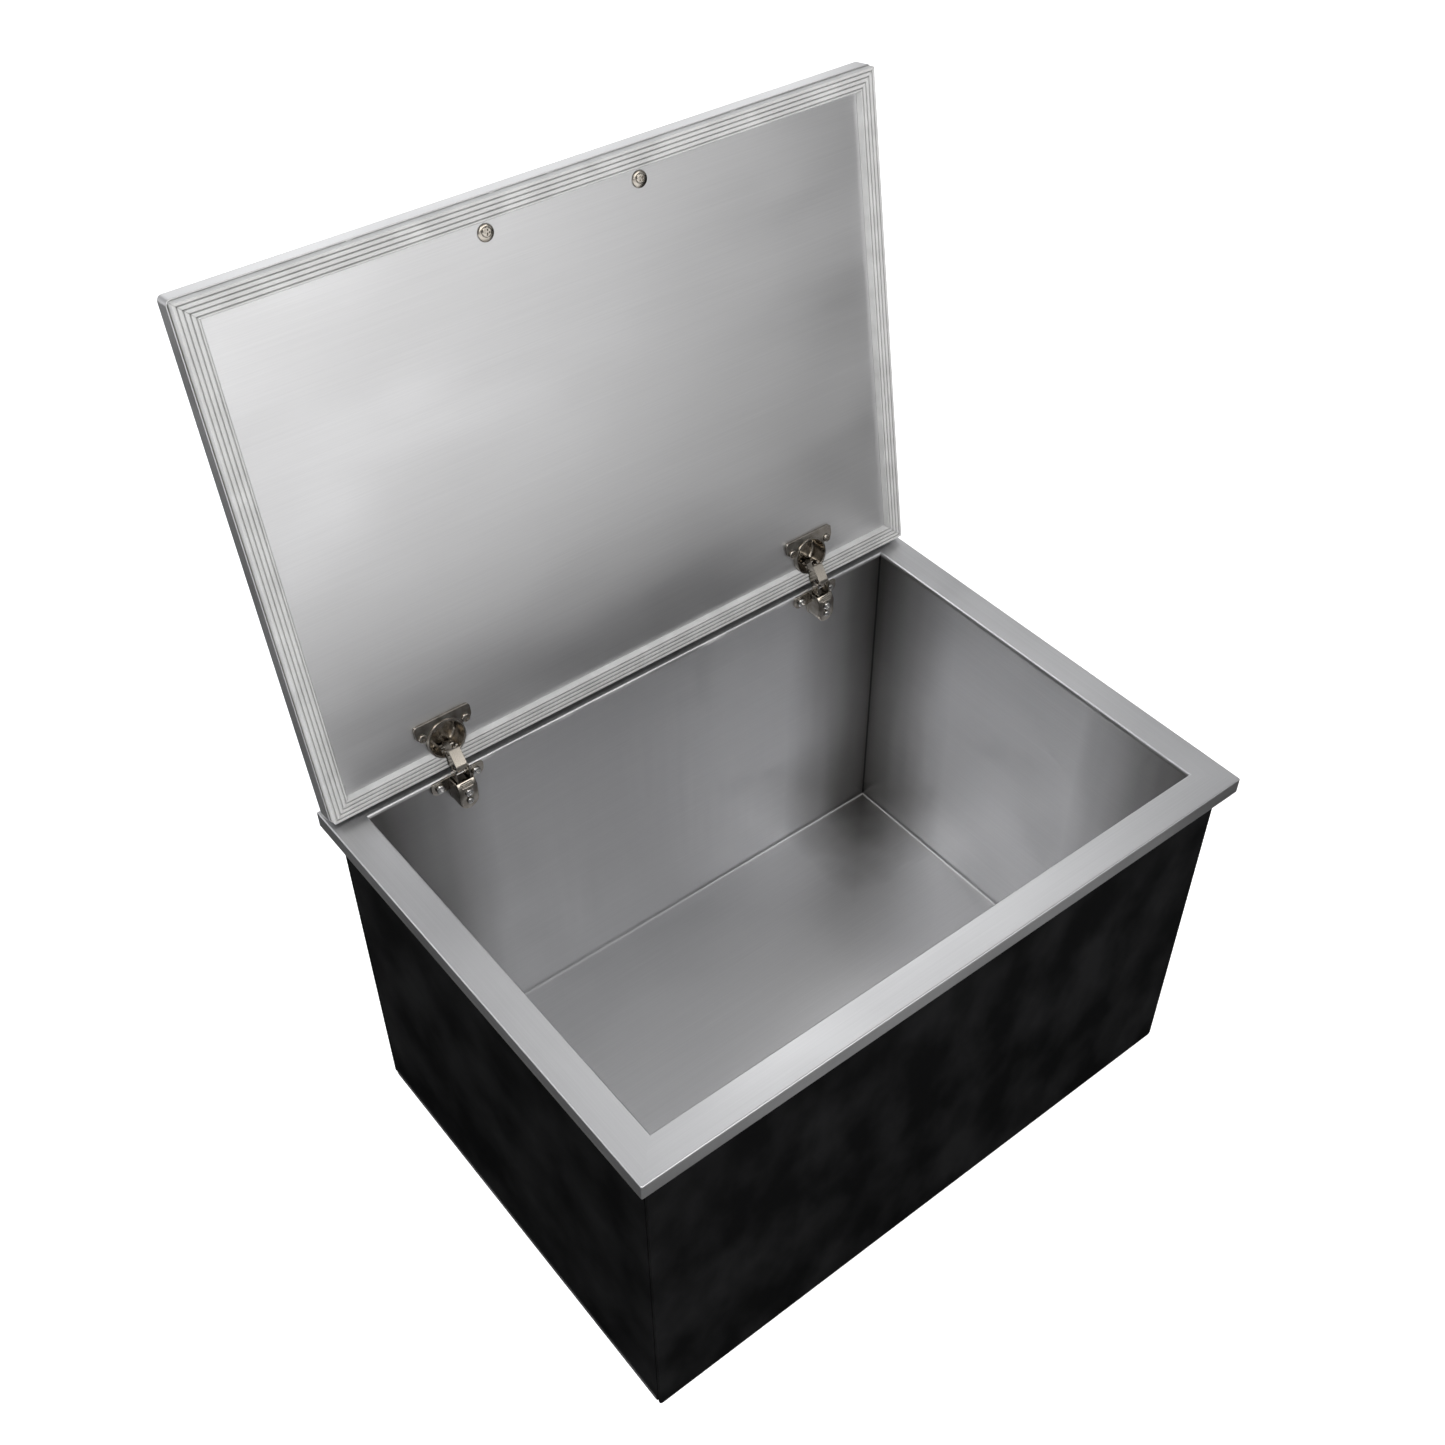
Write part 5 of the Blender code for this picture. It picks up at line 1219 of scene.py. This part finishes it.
class BIN_OT_hinge_arms(bpy.types.Operator):
    """Make the mounting plates on the wall and the pressed arms on them"""

    bl_idname = "bin.hinge_arms"
    bl_label = "Hinge arms"

    def execute(self, context):
        hinge = context.scene.bin_hinge
        for side, middle in HINGE_MIDDLES.items():
            place = at(middle, WALL_Y, BIN_HIGH.z)
            node = "hinge_mounting_plate_" + side
            shape = placed(wings_shape(hinge), place, FACING)
            piece(
                node + "_wings", shape, finish("hinge"), "bin", [node],
                edge=0.00045, segments=3,
            )

            node = "hinge_arm_" + side
            shape = placed(arm_shape(hinge), place, FACING)
            piece(
                node + "_channel", shape, finish("hinge"), "bin", [node],
                edge=0.00022, sheet=hinge.arm_sheet, angle=PRESSED_ANGLE,
            )
            shape = placed(nose_shape(hinge), place)
            piece(node + "_nose", shape, finish("hinge"), "bin", edge=0.0003)
            for kind in ("link", "fork"):
                rivet(hinge, f"hinge_arm_{kind}_pin_{side}", "bin")
            dress("hinge_nut_plate_" + side, finish("hinge"))
        return {"FINISHED"}


def strap_shape(hinge):
    """Flat strap of the outer link with its end turned down, before it gets its thickness."""
    half, rise = hinge.strap_half, hinge.strap_rise + hinge.strap_sheet
    shape = bmesh.new()
    # The end hangs straight down while the lid is open
    drop = Vector((-sin(LINK_TURN), -cos(LINK_TURN))) * hinge.strap_end
    bend, bend_radius, narrow = hinge.strap_bend, 0.0016, 0.86
    path = [(LINK_LENGTH + hinge.strap_past, rise), (bend, rise), (bend + drop.x, rise + drop.y)]
    verts = [shape.verts.new((-half, along, up)) for along, up in path]
    edges = [shape.edges.new(pair) for pair in zip(verts, verts[1:])]
    made = bmesh.ops.extrude_edge_only(shape, edges=edges)["geom"]
    bmesh.ops.translate(shape, vec=(2 * half, 0, 0), verts=only(bmesh.types.BMVert, made))
    round_off(
        shape, bend_radius, lambda middle, along: abs(middle.y - bend) < TINY and abs(along.x) > SQUARE, 6
    )
    # The turned down end is narrower than the strap
    for vert in shape.verts:
        if vert.co.y < bend - 2 * MM:
            vert.co.x *= narrow
    bmesh.ops.recalc_face_normals(shape, faces=shape.faces)
    shape.normal_update()
    shape.faces.ensure_lookup_table()
    if shape.faces[0].normal.z < 0:
        bmesh.ops.reverse_faces(shape, faces=shape.faces)
    return shape


class BIN_OT_hinge_links(bpy.types.Operator):
    """Make the straps that carry the lid, and dress the inner links"""

    bl_idname = "bin.hinge_links"
    bl_label = "Hinge links"

    def execute(self, context):
        hinge = context.scene.bin_hinge
        eye, rise = 0.0023, hinge.strap_rise + hinge.strap_sheet / 2
        bridge_near, bridge_far, nook = 0.0086, 0.0165, 0.0012
        corners = (
            (-eye, -eye, eye),
            (LINK_LENGTH + eye, -eye, eye),
            (LINK_LENGTH + eye, eye, eye),
            (bridge_far, eye, nook),
            (bridge_far, rise, 0),
            (bridge_near, rise, 0),
            (bridge_near, eye, nook),
            (-eye, eye, eye),
        )
        outside, sheet = hinge.strap_half - 0.0003, 0.0013
        for side, middle in HINGE_MIDDLES.items():
            place, node = at(middle), "outer_link_" + side
            shape = placed(gathered(*both_sides(corners, outside - sheet, outside)), place, LINK)
            piece(node + "_cheeks", shape, finish("hinge"), "outer_links", edge=0.00025)
            shape = placed(strap_shape(hinge), place, LINK)
            piece(
                node + "_strap", shape, finish("strap"), "outer_links", [node],
                edge=0.00028, sheet=hinge.strap_sheet, segments=3, angle=PRESSED_ANGLE,
            )
            dress("inner_link_" + side, finish("hinge"))
        return {"FINISHED"}


class BIN_OT_hinge_cups(bpy.types.Operator):
    """Make the cups in the lid, each with its plate, lugs and pins"""

    bl_idname = "bin.hinge_cups"
    bl_label = "Hinge cups"

    def cup_shape(self, hinge):
        """Inside face of the cup, with its notches for the links."""
        radius, depth, cove = hinge.cup, hinge.cup_depth, 0.0020
        profile = [(radius, -hinge.cup_rim)]
        profile += [(radius - cove + cove * c, cove - depth - cove * s) for s, c in quarter(4)]
        shape = spun(profile + [(0, -depth)])
        # Half width and floor of the notch for the strap, and of the narrower one for the fork
        notches = ((hinge.strap_half + 0.0003, -0.0056), (0.0029, -0.0108))
        for half, floor in notches:
            cut(shape, (half, 0, 0), (1, 0, 0))
            cut(shape, (-half, 0, 0), (1, 0, 0))
            cut(shape, (0, 0, floor), (0, 0, 1))
        gone = []
        for face in shape.faces:
            middle = face.calc_center_median()
            within = [abs(middle.x) < half and middle.z > floor for half, floor in notches]
            if middle.y < -8 * MM and any(within):
                gone.append(face)
        bmesh.ops.delete(shape, geom=gone, context="FACES")
        shape.normal_update()
        wall = next(face for face in shape.faces if abs(face.normal.z) < 0.1)
        spot = wall.calc_center_median()
        if wall.normal.dot(Vector((spot.x, spot.y, 0))) > 0:
            bmesh.ops.reverse_faces(shape, faces=shape.faces)
        return shape

    def plate_shape(self, hinge):
        """Plate with two ears and a ring that hides in the cup's wall, with a dark line round its edge."""
        half, start, end = hinge.plate_half, hinge.plate_start, hinge.plate_end
        ring_outside, ring_inside, shrink = 0.0009, 0.0004, 0.97
        wide, along = hinge.cup + ring_outside, hinge.cup_along
        end_fillet, ear_fillet, nook = 0.0030, 0.0048, 0.0015
        corners = (
            (-half, end, end_fillet),
            (-half, start, ear_fillet),
            (-wide, start, nook),
            (-wide, along - wide, wide),
            (wide, along - wide, wide),
            (wide, start, nook),
            (half, start, ear_fillet),
            (half, end, end_fillet),
        )
        hole = [(0, along, hinge.cup + ring_inside)]
        sheet, underside, sunk, overlap = 0.0014, -0.0042, 0.0006, 0.0002
        middle = -hinge.plate_face - sheet
        core = [
            (across, up, radius) if up < along else (shrink * across, up - sunk, radius)
            for across, up, radius in corners
        ]
        return gathered(
            plate(corners, underside, middle - hinge.plate_groove, hole, segments=8),
            plate(corners, middle, -hinge.plate_face, hole, segments=8),
            plate(core, middle - sunk, middle + overlap, hole, segments=8),
        )

    def execute(self, context):
        hinge = context.scene.bin_hinge
        lug_near, lug_far, lug_fillet, lug_inside, lug_outside = 0.0096, 0.0160, 0.0016, 0.0052, 0.0070
        lug_foot = -hinge.cup_depth - 0.0004
        lug = rectangle(lug_near, lug_foot, lug_far, -hinge.cup_rim, 0, lug_fillet)
        stud_place, stud_half = 0.0045, 0.0016
        for side, middle in HINGE_MIDDLES.items():
            node = "hinge_cup_" + side
            shape = placed(self.cup_shape(hinge), LID, at(middle, hinge.cup_along))
            piece(
                node + "_bowl", shape, finish("hinge"), "lid", [node],
                edge=0.0003, sheet=hinge.cup_wall, segments=3, angle=PRESSED_ANGLE,
            )
            parts = [self.plate_shape(hinge), *both_sides(lug, lug_inside, lug_outside)]
            for across in (-stud_place, stud_place):
                stud = pin_shape(hinge.pin, stud_half)
                parts.append(placed(stud, at(across, LID_PIN_ALONG, -LID_PIN_DEPTH)))
            shape = placed(gathered(*parts), LID, at(middle))
            piece(node + "_plate", shape, finish("hinge"), "lid", edge=0.0006, segments=3)
            rivet(hinge, "hinge_cup_fork_pin_" + side, "lid")
        return {"FINISHED"}


# Stage
class BIN_OT_stage(bpy.types.Operator):
    """Make the pale floor, the studio light and the camera of the photograph"""

    bl_idname = "bin.stage"
    bl_label = "Stage"

    # The photograph's camera: its place, angles, focal length in pixels, and the pixel its axis meets
    place = Vector((-0.6006, -0.6928, 1.2687))
    azimuth, elevation, roll = radians(-39.593), radians(44.104), radians(0.734)
    focal_pixels, axis_pixel, image_pixels = 1717.3, (757.28, 747.34), 1445
    sensor = 36.0

    # Cards on the floor beside shiny sheet, as a studio lays them, which the camera doesn't see. Each
    # has its middle, its width, its length, its turn, its shade and its glow, and lies above the last.
    flag_level = 0.002
    flags = (
        ("flag_front", (0.15, -0.42), 2.7, 0.46, 0.0, "#626262", 0.0),
        ("flag_ahead", (0.15, -1.10), 2.7, 0.90, 0.0, "#c8c8c8", 0.50),
        ("flag_left", (-1.20, 1.30), 1.86, 3.02, 0.0, "#505050", 0.0),
        ("flag_right", (8.51, -3.09), 10.0, 13.7, radians(36.8), "#303030", 0.0),
        ("flag_beside", (1.00, -0.05), 1.0, 1.3, 0.0, "#303030", 0.0),
    )
    # Soft boxes, each with its place, its width, its height, its power and its tint
    lamps = (
        ("soft_box_above", (1.28, 1.2, 2.66), 0.95, 0.95, 4.6, "#ffffff"),
        ("soft_box_top", (-0.9, -0.8, 2.7), 1.4, 1.4, 30, "#ffffff"),
        ("soft_box_front", (0.4, -3.0, 1.40), 3.0, 0.9, 24, "#fffdfa"),
        ("soft_box_left", (-2.4, 1.7, 2.2), 1.6, 0.9, 12, "#fbfcff"),
        ("soft_box_back", (0.8, 2.8, 1.35), 2.6, 1.0, 11, "#ffffff"),
    )

    def camera(self, context):
        data = bpy.data.cameras.new("photo_camera")
        data.sensor_fit = "HORIZONTAL"
        data.sensor_width = self.sensor
        data.lens = self.focal_pixels * self.sensor / self.image_pixels
        data.shift_x = 0.5 - self.axis_pixel[0] / self.image_pixels
        data.shift_y = self.axis_pixel[1] / self.image_pixels - 0.5
        data.clip_start, data.clip_end = 0.01, 50
        item = item_of("photo_camera", data)
        turn, tilt = self.azimuth, self.elevation
        back = Vector((sin(turn) * cos(tilt), -cos(turn) * cos(tilt), sin(tilt)))
        right = Vector((cos(turn), sin(turn), 0))
        up = back.cross(right)
        across = right * cos(self.roll) + up * sin(self.roll)
        above = back.cross(across)
        item.matrix_world = at(*self.place) @ Matrix((across, above, back)).transposed().to_4x4()
        context.scene.camera = item

    def lamp(self, name, place, width, height, power, tint, target=(0, 0, 0.35)):
        """Soft box that faces the middle of the bin."""
        data = bpy.data.lights.new(name, "AREA")
        data.shape = "RECTANGLE"
        data.size, data.size_y = width, height
        data.energy = power
        data.color = srgb(tint)
        facing = (Vector(place) - Vector(target)).to_track_quat("Z", "Y")
        item_of(name, data).matrix_world = at(*place) @ facing.to_matrix().to_4x4()

    def card(self, name, place, width, length, turn, code, glow, seen=False):
        """Level sheet of matt paper, which the camera sees only if asked to."""
        shape = bmesh.new()
        bmesh.ops.create_grid(shape, x_segments=1, y_segments=1, size=0.5)
        bmesh.ops.scale(shape, vec=(width, length, 1), verts=shape.verts)
        placed(shape, at(*place), Matrix.Rotation(turn, 4, "Z"))
        mesh = mesh_of(name, shape)
        paper = bpy.data.materials.new(name + "_matt")
        paper.use_nodes = True
        sockets = paper.node_tree.nodes["Principled BSDF"].inputs
        sockets["Base Color"].default_value = sockets["Emission Color"].default_value = rgba(srgb(code))
        sockets["Roughness"].default_value = 0.9
        sockets["Specular IOR Level"].default_value = 0.1
        sockets["Emission Strength"].default_value = glow
        mesh.materials.append(paper)
        item = item_of(name, mesh)
        item.visible_camera = item.visible_diffuse = item.visible_shadow = seen

    def sky(self, context):
        """Soft room light: bright above, dimmer round the horizon."""
        world = bpy.data.worlds.new("studio_room")
        world.use_nodes = True
        context.scene.world = world
        tree = world.node_tree
        look = add(tree, "ShaderNodeTexCoord").outputs["Generated"]
        height = add(tree, "ShaderNodeSeparateXYZ", {0: look}).outputs["Z"]
        levels = {"Value": height, "From Min": 0.50, "From Max": 0.85, "To Min": 0.31, "To Max": 0.42}
        glow = add(tree, "ShaderNodeMapRange", levels, interpolation_type="SMOOTHSTEP")
        tree.links.new(glow.outputs[0], tree.nodes["Background"].inputs["Strength"])
        tree.nodes["Background"].inputs["Color"].default_value = rgba(srgb("#f6f7f9"))

    def execute(self, context):
        self.camera(context)
        self.card("studio_floor", (0, 0, 0), 30, 30, 0, "#fdfdfd", 0.75, True)
        for height, (name, place, *looks) in enumerate(self.flags, 1):
            self.card(name, (*place, height * self.flag_level), *looks)
        self.sky(context)
        for lamp in self.lamps:
            self.lamp(*lamp)
        context.scene.view_settings.view_transform = "Standard"
        return {"FINISHED"}


class BIN_PT_panel(bpy.types.Panel):
    """Panel that lists the bin's sizes, colours and pieces"""

    bl_label = "Drop in bin"
    bl_idname = "BIN_PT_panel"
    bl_space_type = "VIEW_3D"
    bl_region_type = "UI"
    bl_category = "Bin"

    def draw(self, context):
        layout = self.layout
        for group in settings():
            box = layout.box()
            for name in group.__annotations__:
                box.prop(group, name)
        for step in STEPS:
            layout.operator(step.bl_idname)


GROUPS = {
    "bin_sheet": BinSheetSizes,
    "bin_drain": BinDrainSizes,
    "bin_lid": BinLidSizes,
    "bin_hinge": BinHingeSizes,
    "bin_colours": BinColours,
}
STEPS = (
    BIN_OT_stage,
    BIN_OT_basin,
    BIN_OT_jacket,
    BIN_OT_drain,
    BIN_OT_lid_sheets,
    BIN_OT_gasket,
    BIN_OT_handle,
    BIN_OT_hinge_arms,
    BIN_OT_hinge_links,
    BIN_OT_hinge_cups,
    BIN_OT_screws,
)


def register():
    for name, group in GROUPS.items():
        bpy.utils.register_class(group)
        setattr(bpy.types.Scene, name, PointerProperty(type=group))
    for made in (*STEPS, BIN_PT_panel):
        bpy.utils.register_class(made)


def unregister():
    for made in (BIN_PT_panel, *reversed(STEPS)):
        bpy.utils.unregister_class(made)
    for name, group in GROUPS.items():
        delattr(bpy.types.Scene, name)
        bpy.utils.unregister_class(group)


def main():
    register()
    for step in STEPS:
        getattr(bpy.ops.bin, step.bl_idname.split(".")[1])()


if __name__ == "__main__":
    main()
